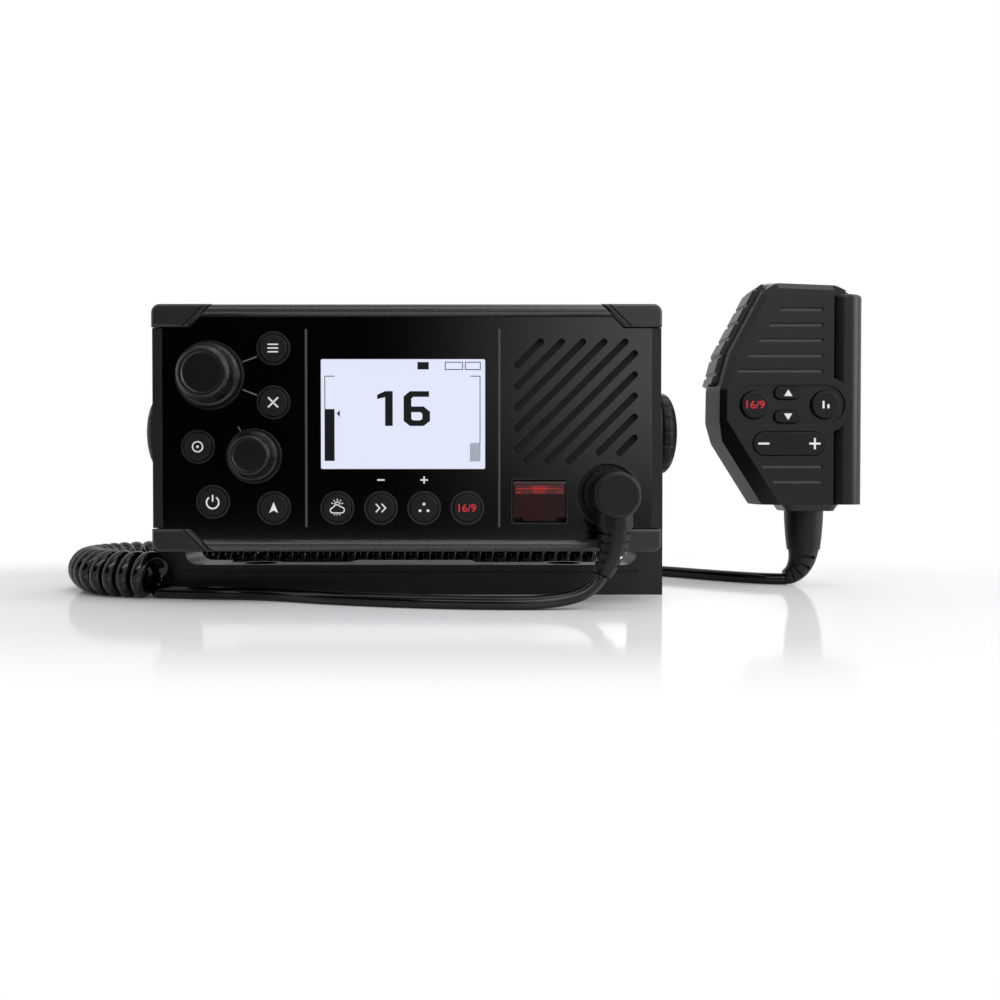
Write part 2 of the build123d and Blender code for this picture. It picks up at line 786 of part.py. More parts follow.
def make_socket_and_plug():
    place = on_panel(socket_place)
    px, pz = place
    shell_front = panel_face_y + socket_recess
    barrel_front = shell_front - socket_barrel_length
    socket = disc(place, socket_r, shell_front, face_back_y)
    socket += disc(place, socket_r - 1.5, face_back_y - 0.5, face_back_y + socket_depth)
    socket += disc(place, socket_barrel_r, barrel_front, shell_front + 1)
    socket -= disc(place, socket_bore_r, barrel_front - 1, shell_front)
    parts["mic_socket"] = socket

    plug_front = panel_face_y - plug_proud
    plug_back = plug_front + plug_body_length
    tail_y = plug_front + plug_body_length / 2
    plug = disc(place, plug_r, plug_front, plug_back)
    plug = fillet(plug.faces().sort_by(Axis.Y)[0].edges(), plug_edge_r)
    tail = extrude(Plane(origin=(px, tail_y, pz), z_dir=(0, 0, -1)) * Circle(plug_tail_r), plug_tail_drop)
    plug += tail
    plug += disc(place, socket_bore_r - 0.05, plug_back - 1, shell_front - 0.3)
    parts["plug_body"] = plug

    ring_front, ring_back = plug_back + ring_gap, panel_face_y - 0.3
    collar = ring(place, ring_r, socket_barrel_r + ring_clearance, ring_front, ring_back)
    collar = fluted(collar, place, ring_r + 0.2, ring_flutes, 0.6, ring_front - 1, ring_back + 1)
    parts["plug_ring"] = collar

    top_z = pz - plug_tail_drop
    drop = top_z - boot_end_z
    shift = px - boot_end_x
    stations = []
    for share, r in ((0.0, plug_tail_r - 0.5), (0.35, 5.6), (0.7, 4.6), (1.0, boot_end_r)):
        lean = share ** boot_curve
        slope = boot_curve * share ** (boot_curve - 1) * shift
        way = (-slope, 0, -drop)
        stations.append(((px - shift * lean, tail_y, top_z - drop * share), way, r))
    boot = tapered_boot(stations)
    for share in (0.12, 0.3, 0.48, 0.66, 0.84):
        z = top_z - drop * share
        x = px - shift * share ** boot_curve
        slope = boot_curve * share ** (boot_curve - 1) * shift
        tilt = Rot(0, math.degrees(math.atan2(slope, drop)), 0)
        for side in (-1, 1):
            groove = Pos(x + side * boot_groove_offset, tail_y, z) * tilt
            boot -= groove * Box(6.4, 2 * plug_tail_r + 2, boot_groove_height)
    parts["plug_boot"] = boot.solids().sort_by(SortBy.VOLUME)[-1]

    start = Vector(boot_end_x, tail_y, boot_end_z)
    way = Vector(-boot_curve * shift, 0, -drop).normalized()
    return start, start + way * lead_length


# ---- chassis and what is on it ----
def chassis_face(side=0.0, edge=0.0):
    """The chassis from the front, grown at its sides and at its top and bottom."""
    width, height = chassis_width + 2 * side, chassis_height + 2 * edge
    r = chassis_corner_r * (0.6 if side < 0 else 1.0)
    return Pos(0, panel_mid_z) * RectangleRounded(width, height, r)


def make_chassis():
    shell = slab(chassis_face(), gasket_back_y, chassis_back_y)
    shell += slab(chassis_face(flange_side, flange_edge), gasket_back_y, gasket_back_y + flange_thickness)
    room = chassis_face(-chassis_wall, -chassis_wall)
    shell -= slab(room, gasket_back_y - 1, chassis_back_y - chassis_wall)
    bottom = panel_mid_z - chassis_height / 2
    fin_low = panel_mid_z - 2
    first = -(fin_count - 1) / 2 * fin_pitch
    for i in range(fin_count):
        x = first + i * fin_pitch
        shell += block(
            x - fin_thickness / 2, x + fin_thickness / 2, fin_low, bottom + chassis_height - fin_end_gap,
            chassis_back_y - 0.5, chassis_back_y + fin_depth,
        )
    floor_z = bottom + chassis_wall
    front_inset, back_inset = board_post_inset
    post_ys = (gasket_back_y + front_inset, gasket_back_y + main_board_length - back_inset)
    for x in (-board_post_x, board_post_x):
        for y in post_ys:
            post = Cylinder(board_post_r, main_board_rise + 1)
            shell += Pos(x, y, floor_z + main_board_rise / 2 - 0.5) * post
    reach = insert_length + insert_boss_wall
    for side in (-1, 1):
        inner, outer = side * (chassis_half - reach), side * (chassis_half + 1)
        shell += rod(inner, side * (chassis_half - 1), pivot_y, pivot_z, insert_r + insert_boss_wall)
        shell -= rod(side * (chassis_half - insert_length), outer, pivot_y, pivot_z, insert_r)
    for place in case_screw_places():
        hole_r = case_screw_r + screw_hole_clearance
        shell -= disc(place, hole_r, gasket_back_y - 1, gasket_back_y + flange_thickness + 1)
    for spot, r in rear_fittings().values():
        shell -= disc(spot, r - fitting_hole_step, chassis_back_y - chassis_wall - 1, chassis_back_y + 1)
    parts["chassis"] = shell

    seal = slab(chassis_face(flange_side, flange_edge), case_back_y, gasket_back_y)
    inner = flange_side - gasket_width
    seal -= slab(chassis_face(inner, inner), case_back_y - 1, gasket_back_y + 1)
    for place in case_screw_places():
        seal -= disc(place, case_screw_r + screw_hole_clearance, case_back_y - 1, gasket_back_y + 1)
    parts["case_gasket"] = seal

    inserts, washers, screws = [], [], []
    for side in (-1, 1):
        out = side * chassis_half
        insert = rod(out - side * insert_length, out, pivot_y, pivot_z, insert_r)
        bore_r = stud_r + stud_clearance
        bore_end = out - side * (insert_length - insert_end_wall)
        inserts.append(insert - rod(bore_end, out + side, pivot_y, pivot_z, bore_r))
        pad = rod(out, out + side * washer_thickness, pivot_y, pivot_z, washer_r)
        washers.append(pad - rod(out - side, side * (arm_inner + 1), pivot_y, pivot_z, bore_r))
    parts["pivot_inserts"] = inserts
    parts["pivot_washers"] = washers

    head_y = gasket_back_y + flange_thickness
    for place in case_screw_places():
        screw = disc(place, case_screw_r, case_back_y - rear_rim + 0.8, head_y + 0.5)
        screws.append(screw + disc(place, case_screw_head_r, head_y, head_y + screw_head_height))
    parts["case_screws"] = screws

    half = chassis_half - chassis_wall - board_edge_room
    board_z = floor_z + main_board_rise
    board_front = gasket_back_y + board_edge_room
    board = Box(2 * half, main_board_length, board_thickness)
    board = Pos(0, board_front + main_board_length / 2, board_z + board_thickness / 2) * board
    can_z = board_z + board_thickness
    can_x, can_y = shield_can_place
    can = Pos(can_x, board_front + can_y, can_z + shield_can[2] / 2) * Box(*shield_can)
    sink_x, sink_y = heat_sink_place
    sink = Pos(sink_x, board_front + sink_y, can_z + heat_sink[2] / 2) * Box(*heat_sink)
    parts["main_board"] = [board, can, sink]


def rear_fittings():
    """Where each rear fitting sits, with the radius of its flange."""
    z = panel_mid_z - chassis_height / 2 + fitting_row_rise
    return {name: ((x, z), r) for name, (x, r) in fitting_places.items()}


def make_rear_fittings():
    made = {}
    base_y = chassis_back_y
    for name, (spot, r) in rear_fittings().items():
        body_y = base_y + fitting_flange
        fitting = disc(spot, r, base_y, body_y)
        fitting += disc(spot, r - fitting_hole_step - fitting_clearance, base_y - chassis_wall, body_y)
        if name == "antenna_socket":
            end_y = base_y + antenna_socket_length
            fitting += disc(spot, antenna_socket_r, base_y, end_y)
            fitting -= disc(spot, antenna_bore_r, end_y - antenna_bore_depth, end_y + 1)
            fitting += disc(spot, antenna_core_r, base_y, end_y - antenna_core_inset)
            contact_y = end_y - antenna_core_inset - antenna_contact_depth
            fitting -= disc(spot, antenna_contact_r, contact_y, end_y)
        elif name.endswith("socket"):
            end_y = base_y + inlet_length
            fitting += disc(spot, r - inlet_step, base_y, end_y)
            fitting -= disc(spot, r - inlet_step - inlet_wall, end_y - inlet_depth, end_y + 1)
            fitting += disc(spot, inlet_pin_r, base_y, end_y - inlet_pin_inset)
        else:
            end_y = base_y + inlet_length
            nut = Pos(*spot) * RegularPolygon(r - gland_nut_step, 6)
            fitting += slab(nut, body_y, body_y + gland_nut_length)
            fitting += disc(spot, gland_neck_r, base_y, end_y)
            fitting -= disc(spot, gland_cable_r, end_y - inlet_depth, end_y + 1)
        made[name] = fitting
    sockets = [fitting for name, fitting in made.items() if name.endswith("socket")]
    parts["rear_sockets"] = sockets
    parts["cable_glands"] = [made["data_gland"], made["power_gland"]]


# ---- bracket and gimbal knobs ----
def arm_profile():
    """An arm from the side: straight in front, drawn in from the base to the round head behind."""
    low = Pos((base_front_y + base_back_y) / 2, base_height / 2) * Rectangle(base_depth, base_height)
    head = Pos(pivot_y, pivot_z) * Circle(arm_head_r)
    dy, dz = base_back_y - pivot_y, base_height - pivot_z
    gap = math.hypot(dy, dz)
    bearing = math.atan2(dz, dy) + math.acos(arm_head_r / gap)
    touch = (pivot_y + arm_head_r * math.cos(bearing), pivot_z + arm_head_r * math.sin(bearing))
    front_touch = (pivot_y - arm_head_r, pivot_z)
    foot = [(base_front_y, base_height - 1), (base_back_y, base_height)]
    neck = outline(foot + [touch, (pivot_y, pivot_z), front_touch])
    return low + head + neck


def base_outline():
    """The base from above: full depth at its ends and tongue, drawn in between them."""
    step = base_depth - base_waist_depth
    waist_y = base_back_y - step
    half = bracket_half_width
    right = [
        (half, base_front_y), (half, base_back_y), (shoulder_half, base_back_y), (shoulder_half - 2, waist_y),
        (tongue_half + 2, waist_y), (tongue_half, base_back_y),
    ]
    left = [(-x, y) for x, y in reversed(right)]
    return outline(right + left)


def make_bracket():
    base = extrude(base_outline(), base_height)
    groove_top = base_height - lip_height
    band = Pos(0, base_front_y, groove_top - groove_height / 2)
    base -= band * Box(2 * bracket_half_width, 2 * groove_depth, groove_height)
    hollow = offset(base_outline(), -boss_wall, kind=Kind.INTERSECTION)
    base -= extrude(hollow, base_height - base_skin)
    for x in (-mount_spacing / 2, 0, mount_spacing / 2):
        rib = Pos(x, base_front_y + base_waist_depth / 2, (base_height - 1) / 2)
        base += rib * Box(boss_wall, base_waist_depth - 1, base_height - 1)
    for x in (-mount_spacing / 2, mount_spacing / 2):
        spot = Pos(x, 0, 0)
        base += extrude(spot * Circle(mount_counterbore_r + boss_wall), base_height)
        base -= extrude(spot * Circle(mount_hole_r), base_height + 1)
        base -= Pos(0, 0, mount_floor) * extrude(spot * Circle(mount_counterbore_r), base_height)
    for side in (-1, 1):
        outer, inner = side * bracket_half_width, side * arm_inner
        arm = extrude(beside(min(outer, inner)) * arm_profile(), arm_thickness)
        pocket = offset(arm_profile(), -arm_rim, kind=Kind.INTERSECTION)
        pocket -= Pos(pivot_y, pivot_z) * Circle(washer_r + 1)
        pocket -= Pos((base_front_y + base_back_y) / 2, (base_height + inside_fillet) / 2) * Rectangle(
            base_depth, base_height + inside_fillet
        )
        rib_z = (pivot_z + base_height) / 2
        pocket -= Pos(pivot_y, rib_z) * Rectangle(arm_head_r * 3, arm_rim)
        near = inner - side
        sunk = side * (bracket_half_width - arm_web)
        arm -= extrude(beside(min(near, sunk)) * pocket, abs(sunk - near))
        bore_r = stud_r + stud_clearance
        arm -= rod(side * (arm_inner - 1), side * (bracket_half_width + 1), pivot_y, pivot_z, bore_r)
        base += arm
        corner = Plane(origin=(0, base_front_y, 0), x_dir=(1, 0, 0), z_dir=(0, -1, 0))
        outside, start = side * (arm_inner + 1), side * (arm_inner - inside_fillet)
        web_top = base_height + inside_fillet
        web = outline([
            (outside, base_height - 1), (start, base_height - 1), (start, base_height),
            (side * arm_inner, web_top), (outside, web_top),
        ])
        web -= Pos(start, web_top) * Circle(inside_fillet)
        base += extrude(corner * web, -base_depth)
    parts["mounting_bracket"] = base


def make_gimbal_knobs():
    grip_end = bracket_half_width + knob_gap + gimbal_grip_width
    for side, name in ((-1, "left_gimbal_knob"), (1, "right_gimbal_knob")):
        start = side * (bracket_half_width + knob_gap)
        grip = rod(start, side * grip_end, pivot_y, pivot_z, gimbal_knob_r)
        dome_side = Plane(origin=(side * grip_end, pivot_y, pivot_z), x_dir=(0, 1, 0), z_dir=(side, 0, 0))
        grip += extrude(dome_side * Circle(gimbal_knob_r - 0.6), gimbal_dome, taper=45)
        spots = PolarLocations(gimbal_knob_r + 0.5, gimbal_flutes)
        flutes = Sketch() + [at * Circle(1.5) for at in spots]
        cut_from = min(start, side * (grip_end + gimbal_dome))
        grip -= extrude(beside(cut_from) * Pos(pivot_y, pivot_z) * flutes, gimbal_grip_width + gimbal_dome)
        inner = side * (bracket_half_width - stud_reach)
        grip += rod(inner, start, pivot_y, pivot_z, stud_r)
        parts[name] = grip


# ---- cord ----
def make_cords(boot_end, first_bend):
    """The cord from the plug to the microphone; what the plug carries ends on a plane across X."""
    front = [
        tuple(boot_end),
        tuple(first_bend),
        (63.2, -61.0, 4.5),
        (49.0, -62.8, cord_r),
        (28.0, -62.3, cord_r),
        (2.0, -57.2, cord_r),
        (-27.0, -47.0, cord_r),
        (-55.5, -30.8, cord_r),
        (-80.2, -28.9, cord_r),
        (-99.5, -23.5, cord_r),
    ]
    wire = tube(front, cord_r, "front cord")
    far = 200.0
    carried = Pos(lead_cut_x + far / 2, 0, 0) * Box(far, far, far)
    parts["cord_lead"] = wire & carried
    parts["floor_cord"] = wire - carried

    coil = [
        (-99.5, -23.5, coil_r),
        (-114.5, -19.3, coil_r),
        (-128.5, -9.0, coil_r),
        (-140.0, 14.0, coil_r),
        (-135.0, 41.0, coil_r),
        (-110.0, 62.0, coil_r),
        (-79.0, 79.5, coil_r),
        (-40.0, 89.0, coil_r),
        (4.0, 91.5, coil_r),
        (44.0, 91.0, coil_r),
        (80.0, 88.0, coil_r),
    ]
    parts["coiled_cord"] = tube(coil, coil_r, "coiled_cord")

    rear = [
        (80.0, 88.0, cord_r),
        (98.0, 86.5, cord_r),
        (113.0, 78.5, cord_r),
        (124.5, 66.5, cord_r),
        (134.5, 54.5, cord_r),
        (144.5, 44.4, cord_r),
        (153.0, 36.8, cord_r),
        (159.0, 33.4, cord_r),
        (rear_cord_end_x + 1.0, mic_y + 1.5, cord_r),
    ]
    wire = tube(rear, cord_r, "rear_cord")
    beyond = Pos(rear_cord_end_x + far / 2, 0, 0) * Box(far, far, far)
    parts["rear_cord"] = wire - beyond


# ---- hand microphone ----
mic_points = [
    (195.7, 35.9), (195.7, 125.6), (189.4, 129.4), (182.6, 132.6), (154.2, 133.7), (147.3, 129.0),
    (133.1, 102.4), (128.6, 86.0), (128.4, 71.4), (130.9, 62.5), (147.6, 35.9),
]
mic_front_y = mic_y - mic_depth / 2
mic_back_y = mic_y + mic_depth / 2
mic_round_keys = {
    "mic_call_key": (145.6, 78.7),
    "mic_power_level_key": (175.7, 78.7),
}
mic_bar_keys = {"mic_up_key": (159.7, 83.75), "mic_down_key": (159.7, 73.6)}
mic_bar_size = (11.4, 5.1)
rocker_place = (160.3, 62.1)
rocker_size = (30.6, 10.0)
rocker_bead_half = 3.0
mic_screw_places = ((183.5, 44.5), (183.5, 114.0), (156.0, 44.5))
mic_speaker_place = (161.0, 104.5)
mic_plate_upper = ((157.7, 126.5), (133.1, 91.1))
mic_plate_lower = ((135.1, 66.9), (155.8, 36.9))
mic_board_points = [(143, 62), (143, 94), (154, 118), (178, 118), (178, 41.9), (160, 41.9)]
hanger_place = (164.0, 88.0)
ptt_top = (151.0, 131.6)
ptt_bottom = (129.2, 88.5)


def ptt_axes():
    """Along the talk key, from top to bottom, and inward across it."""
    along = Vector(ptt_bottom[0] - ptt_top[0], ptt_bottom[1] - ptt_top[1]).normalized()
    return along, Vector(-along.Y, along.X)


def ptt_outside(out):
    """The talk key's outer line, along the microphone's bent left edge and this far outside it."""
    shift = ptt_axes()[1] * -out
    spots = [ptt_top, mic_points[5], mic_points[6], ptt_bottom]
    return [(x + shift.X, z + shift.Y) for x, z in spots]


def ptt_sketch(room=0.0, sink=0.0, out=0.0):
    """The talk key from the front; for the space cut for it, with room, sunk in and carried out."""
    along, inward = ptt_axes()
    outer = ptt_outside(ptt_proud + out)
    top, bottom = Vector(*ptt_top) - along * room, Vector(*ptt_bottom) + along * room
    lift = inward * -(ptt_proud + out)
    deep = inward * (ptt_thickness + room + sink)
    corners = [top + lift, bottom + lift, bottom + deep, top + deep]
    ends = [(at.X, at.Y) for at in corners]
    return outline([ends[0], *outer[1:3], *ends[1:]])


def mic_plan(below=0.0):
    """The microphone seen from the front, its foot lowered by this much."""
    low = mic_points[0][1]
    (ax, az), (bx, bz) = mic_points[-2:]
    foot_x = bx + (bx - ax) / (bz - az) * -below
    points = [(mic_points[0][0], low - below), *mic_points[1:-1], (foot_x, low - below)]
    shape = outline(points)
    corners = [at for at in shape.vertices() if at.Y > low - below + 1]
    shape = fillet(corners, mic_corner_r)
    return shape if below else fillet(shape.vertices().group_by(Axis.Y)[0], mic_foot_r)


def mic_half(margin, depth, taper, bevel=0.0):
    """The front half, this far inside the outline: its sides lean in, its foot stays level."""
    shape = mic_plan(below=8.0)
    plan = mic_plan()
    if margin:
        shape = offset(shape, -margin, kind=Kind.INTERSECTION)
        plan = offset(plan, -margin, kind=Kind.INTERSECTION)
    seam = mic_y - mic_seam / 2
    half = extrude(facing(seam) * shape, depth - bevel, taper=taper)
    if bevel:
        half += extrude(half.faces().sort_by(Axis.Y)[0], bevel, taper=45)
    return half & slab(plan, seam - depth, seam)


def mic_low_cut(margin):
    """What the wide bevel along the lower left edge takes away, at this distance inside it."""
    (ax, az), (bx, bz) = mic_points[-2:]
    length = math.hypot(bx - ax, bz - az)
    along = Vector((bx - ax) / length, 0, (bz - az) / length)
    inward = Vector(-along.Z, 0, along.X)
    lean = (mic_y - mic_front_y) * math.tan(math.radians(mic_front_taper))
    middle = Vector((ax + bx) / 2, mic_front_y, (az + bz) / 2)
    at = middle + inward * (lean + mic_low_bevel + margin * math.sqrt(2))
    plane = Plane(origin=at, x_dir=along, z_dir=inward * -1 + Vector(0, -1, 0))
    return extrude(plane * Rectangle(3 * length, 40), 30)


def beside_plate(inside):
    """The space right of the face plate, in front of the valley floor and of the column's middle."""
    edge, valley_y = mic_plate_edge_x - inside, mic_front_y + mic_valley_depth + inside
    low, high, far = mic_points[0][1] - 1, 140.0, 210.0
    space = block(edge, mic_column_x, low, high, mic_front_y - 1, valley_y)
    space += block(mic_column_x, far, low, high, mic_front_y - 1, mic_column_y + inside)
    bulge = mic_round_keys["mic_power_level_key"]
    return space - disc(bulge, mic_bulge_r - inside, mic_front_y - 2, mic_column_y)


def column(inside):
    """The upright round column at the right, or the room inside it."""
    low, high = mic_points[0][1] + inside, mic_column_top_z - inside
    bar = Cylinder(mic_column_r - inside, high - low)
    bar = fillet(bar.edges().group_by(Axis.Z)[-1], mic_column_edge_r)
    bar = Pos(mic_column_x, mic_column_y, (low + high) / 2) * bar
    reach = mic_column_r + 1
    return bar - block(mic_column_x - reach, mic_column_x + reach, 0, 140, mic_y - mic_seam / 2, mic_back_y)


def mic_slots():
    """The grooves across the face plate, their left ends slanting along its edges."""
    made = Sketch()
    rows = [mic_top_slot_z - i * mic_slot_pitch for i in range(5)]
    rows += [mic_low_slot_z - i * mic_slot_pitch for i in range(2)]
    half = mic_slot_height / 2
    for z in rows:
        upper = z > mic_low_slot_z
        (ax, az), (bx, bz) = mic_plate_upper if upper else mic_plate_lower
        x = bx + (ax - bx) * (z - bz) / (az - bz) + mic_slot_inset
        lean = half * (mic_slot_slant if upper else -mic_slot_slant)
        low, high = z - half, z + half
        made += outline([(x - lean, low), (mic_slot_end_x, low), (mic_slot_end_x, high), (x + lean, high)])
    return made


def mic_face_openings():
    """The openings in the face plate for its keys and its rocker."""
    holes = Sketch()
    grow = 2 * mic_key_clearance
    for place in mic_round_keys.values():
        holes += Pos(*place) * Circle(mic_key_r + mic_key_clearance)
    for place in mic_bar_keys.values():
        holes += Pos(*place) * SlotOverall(mic_bar_size[0] + grow, mic_bar_size[1] + grow)
    return holes + Pos(*rocker_place) * SlotOverall(rocker_size[0] + grow, rocker_size[1] + grow)


def make_mic_shells():
    seam_front, seam_back = mic_y - mic_seam / 2, mic_y + mic_seam / 2
    depth = seam_front - mic_front_y
    front = mic_half(0.0, depth, mic_front_taper, mic_front_bevel)
    front = front - mic_low_cut(0.0) - beside_plate(0.0) + column(0.0)
    room = mic_half(mic_wall, depth - mic_wall, mic_front_taper) - mic_low_cut(mic_wall)
    front -= room - beside_plate(mic_wall) + column(mic_wall)
    left, right = mic_round_keys["mic_call_key"], mic_round_keys["mic_power_level_key"]
    pod = Pos((left[0] + right[0]) / 2, left[1]) * SlotCenterToCenter(right[0] - left[0], 2 * mic_pod_r)
    front -= slab(pod, mic_front_y - 1, mic_front_y + mic_pod_depth)
    front -= slab(mic_slots(), mic_front_y - 1, mic_front_y + mic_slot_depth)
    for place in mic_screw_places:
        behind_valley = place[0] > mic_plate_edge_x - mic_screw_boss_r
        boss_y = mic_front_y + mic_wall / 2 + (mic_valley_depth if behind_valley else 0)
        front += disc(place, mic_screw_boss_r, boss_y, seam_front)
        front -= disc(place, mic_screw_r, mic_y - mic_screw_reach - 1, seam_back)
    front -= slab(mic_face_openings(), mic_front_y - 1, mic_front_y + mic_wall + 1)
    room_half = ptt_depth / 2 + ptt_gap
    ptt_room = slab(ptt_sketch(ptt_gap, ptt_travel, mic_wall), mic_y - room_half, mic_y + room_half)
    collar_room = Pos(mic_boot_x, mic_y, mic_points[0][1]) * Cylinder(mic_neck_r, 2 * mic_neck_length)
    parts["mic_front_case"] = front - ptt_room - collar_room

    across = Plane(origin=(0, mic_y, 0), z_dir=(0, 1, 0))
    depth = mic_back_y - seam_back
    back = mirror(mic_half(0.0, depth, mic_back_taper, mic_back_bevel), across)
    back -= mirror(mic_half(mic_wall, depth - mic_wall, mic_back_taper), across)
    for place in mic_screw_places:
        back += disc(place, mic_screw_boss_r, seam_back + 1, mic_back_y - mic_wall)
        back -= disc(place, mic_screw_r, mic_y, mic_back_y + 1)
        back -= disc(place, mic_screw_head_r, mic_back_y - mic_screw_sink, mic_back_y + 1)
    back = back - ptt_room - collar_room
    socket_y = mic_back_y - hanger_socket_depth
    back += disc(hanger_place, hanger_neck_r + hanger_boss_wall, socket_y, mic_back_y - mic_wall)
    back -= disc(hanger_place, hanger_neck_r, socket_y + hanger_floor, mic_back_y + 1)
    parts["mic_rear_case"] = back
    head_y = mic_back_y + hanger_proud - hanger_button_sink
    stud = disc(hanger_place, hanger_neck_r, socket_y + hanger_floor, head_y)
    parts["mic_hanger_stud"] = stud + disc(hanger_place, hanger_r, head_y, head_y + hanger_thickness)


def make_mic_keys():
    front_y = mic_front_y - mic_key_proud
    back_y = mic_front_y + mic_wall + mic_key_travel
    flange_y = back_y - mic_key_flange_thickness
    for name, place in mic_round_keys.items():
        cap = disc(place, mic_key_r, front_y, back_y)
        cap = fillet(cap.faces().sort_by(Axis.Y)[0].edges(), mic_key_edge_r)
        parts[name] = cap + disc(place, mic_key_r + mic_key_flange, flange_y, back_y)
    width, height = mic_bar_size
    for name, place in mic_bar_keys.items():
        cap = slab(Pos(*place) * SlotOverall(width, height), front_y + mic_bar_sink, back_y)
        cap = fillet(cap.faces().sort_by(Axis.Y)[0].edges(), mic_bar_edge_r)
        wide = Pos(*place) * SlotOverall(width + 2 * mic_bar_flange, height + 2 * mic_bar_flange)
        parts[name] = cap + slab(wide, flange_y, back_y)
    rocker_back = mic_front_y + mic_wall - rocker_sink
    rocker = slab(Pos(*rocker_place) * SlotOverall(*rocker_size), front_y + rocker_sink, rocker_back)
    rocker = fillet(rocker.faces().sort_by(Axis.Y)[0].edges(), mic_bar_edge_r)
    bead_x, bead_z = rocker_place
    bead = Pos(bead_x, rocker_back, bead_z) * Cylinder(rocker_bead_r, 2 * rocker_bead_half)
    parts["mic_volume_rocker"] = rocker + bead

    fulcrum_y = rocker_back + rocker_seat_gap
    board = outline(mic_board_points)
    for place in mic_screw_places:
        board -= Pos(*place) * Circle(mic_screw_boss_r + mic_board_gap)
    board = slab(board, mic_board_y, mic_board_y + board_thickness)
    seat_half, seat_end = rocker_bead_r + rocker_seat_wall, rocker_bead_half + rocker_seat_wall
    board += block(
        bead_x - seat_half, bead_x + seat_half, bead_z - seat_end, bead_z + seat_end, fulcrum_y, mic_board_y
    )
    seat_r = rocker_bead_r + rocker_bead_clearance
    board -= Pos(bead_x, rocker_back, bead_z) * Cylinder(seat_r, 2 * seat_end + 1)
    dome_y = back_y + mic_key_travel + mic_dome_gap
    for place in mic_round_keys.values():
        board += disc(place, dome_r, dome_y, mic_board_y)
    for place in mic_bar_keys.values():
        board += disc(place, mic_dome_r, dome_y, mic_board_y)
    speaker_y = mic_front_y + mic_wall
    speaker = disc(mic_speaker_place, mic_speaker_r, speaker_y, speaker_y + mic_speaker_depth)
    parts["mic_board"] = [board, speaker]


def make_ptt():
    along, inward = ptt_axes()
    key = slab(ptt_sketch(), mic_y - ptt_depth / 2, mic_y + ptt_depth / 2)
    middle = Vector(*ptt_top) + inward * (ptt_thickness - 1)
    rim = [
        edge for face in (key.faces().sort_by(Axis.Y)[0], key.faces().sort_by(Axis.Y)[-1])
        for edge in face.edges()
        if (Vector(edge.center().X, edge.center().Z) - middle).dot(inward) < -1
    ]
    key = chamfer(rim, ptt_edge)
    line = Polyline(*ptt_outside(ptt_proud))
    count = int(line.length / ptt_notch_pitch)
    for i in range(count):
        spot = line @ ((i + 0.5) / count)
        key -= disc((spot.X, spot.Y), ptt_notch_r, mic_y - ptt_depth, mic_y + ptt_depth)
    parts["talk_key"] = key


def make_mic_collar_and_boot():
    z_top = mic_points[0][1]
    flat = Plane(origin=(mic_boot_x + 0.6, mic_y, z_top), z_dir=(0, 0, -1))
    shape = RectangleRounded(*mic_collar_size, mic_collar_corner_r)
    collar = extrude(flat * shape, z_top - mic_boot_top_z, taper=mic_collar_taper)
    neck = Cylinder(mic_neck_r, mic_neck_length)
    parts["mic_collar"] = collar + Pos(mic_boot_x, mic_y, z_top + mic_neck_length / 2 - 1) * neck

    down = (0, 0, -1)
    upper = [
        ((mic_boot_x, mic_y, mic_boot_top_z), down, mic_boot_r),
        ((mic_boot_x, mic_y, mic_boot_waist_z + 10), down, mic_boot_r - 0.3),
        ((mic_boot_x, mic_y, mic_boot_waist_z), down, mic_boot_r - 1.3),
    ]
    boot = tapered_boot(upper)
    end_z = mic_boot_end_r + 0.3
    across, drop = mic_boot_x - rear_cord_end_x, mic_boot_waist_z - end_z
    lower = []
    for step in range(5):
        angle = math.radians(step * 22.5)
        x = rear_cord_end_x + across * math.cos(angle)
        at = (x, mic_y + 1.5 * step / 4, mic_boot_waist_z - drop * math.sin(angle))
        way = (-across * math.sin(angle), 0, -drop * math.cos(angle)) if step else down
        share = step / 4
        lower.append((at, way, 6.6 * (1 - share) + mic_boot_end_r * share))
    boot += tapered_boot(lower)
    for step in (0.6, 1.5, 2.4, 3.2):
        angle = math.radians(step * 22.5)
        at = (rear_cord_end_x + across * math.cos(angle), mic_y, mic_boot_waist_z - drop * math.sin(angle))
        lean = math.degrees(math.atan2(across * math.sin(angle), drop * math.cos(angle)))
        r = 6.6 - (6.6 - mic_boot_end_r) * step / 4
        for side in (-1, 1):
            boot -= Pos(*at) * Rot(0, lean, 0) * Pos(0, side * r, 0) * Box(r * 1.3, r * 1.2, 1.3)
    parts["mic_boot"] = boot.solids().sort_by(SortBy.VOLUME)[-1]


def make_mic_screws():
    screws = []
    for place in mic_screw_places:
        head_y = mic_back_y - mic_screw_sink
        screw = disc(place, mic_screw_r, mic_y - mic_screw_reach, head_y)
        screws.append(screw + disc(place, mic_screw_head_r, head_y, head_y + mic_screw_head_height))
    parts["mic_screws"] = screws


def write_parts():
    os.makedirs("parts", exist_ok=True)
    for name, made in parts.items():
        shape = Compound(children=list(made)) if isinstance(made, list) else made
        export_step(shape, f"parts/{name}.step")
    print(len(parts), "nodes")


make_front_case()
make_trims()
make_face_panel()
make_panel_rings()
make_keys()
make_boards()
make_knobs()
make_distress()
make_speaker()
boot_end, first_bend = make_socket_and_plug()
make_chassis()
make_rear_fittings()
make_bracket()
make_gimbal_knobs()
make_cords(boot_end, first_bend)
make_mic_shells()
make_mic_keys()
make_ptt()
make_mic_collar_and_boot()
make_mic_screws()
write_parts()
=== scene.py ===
import math

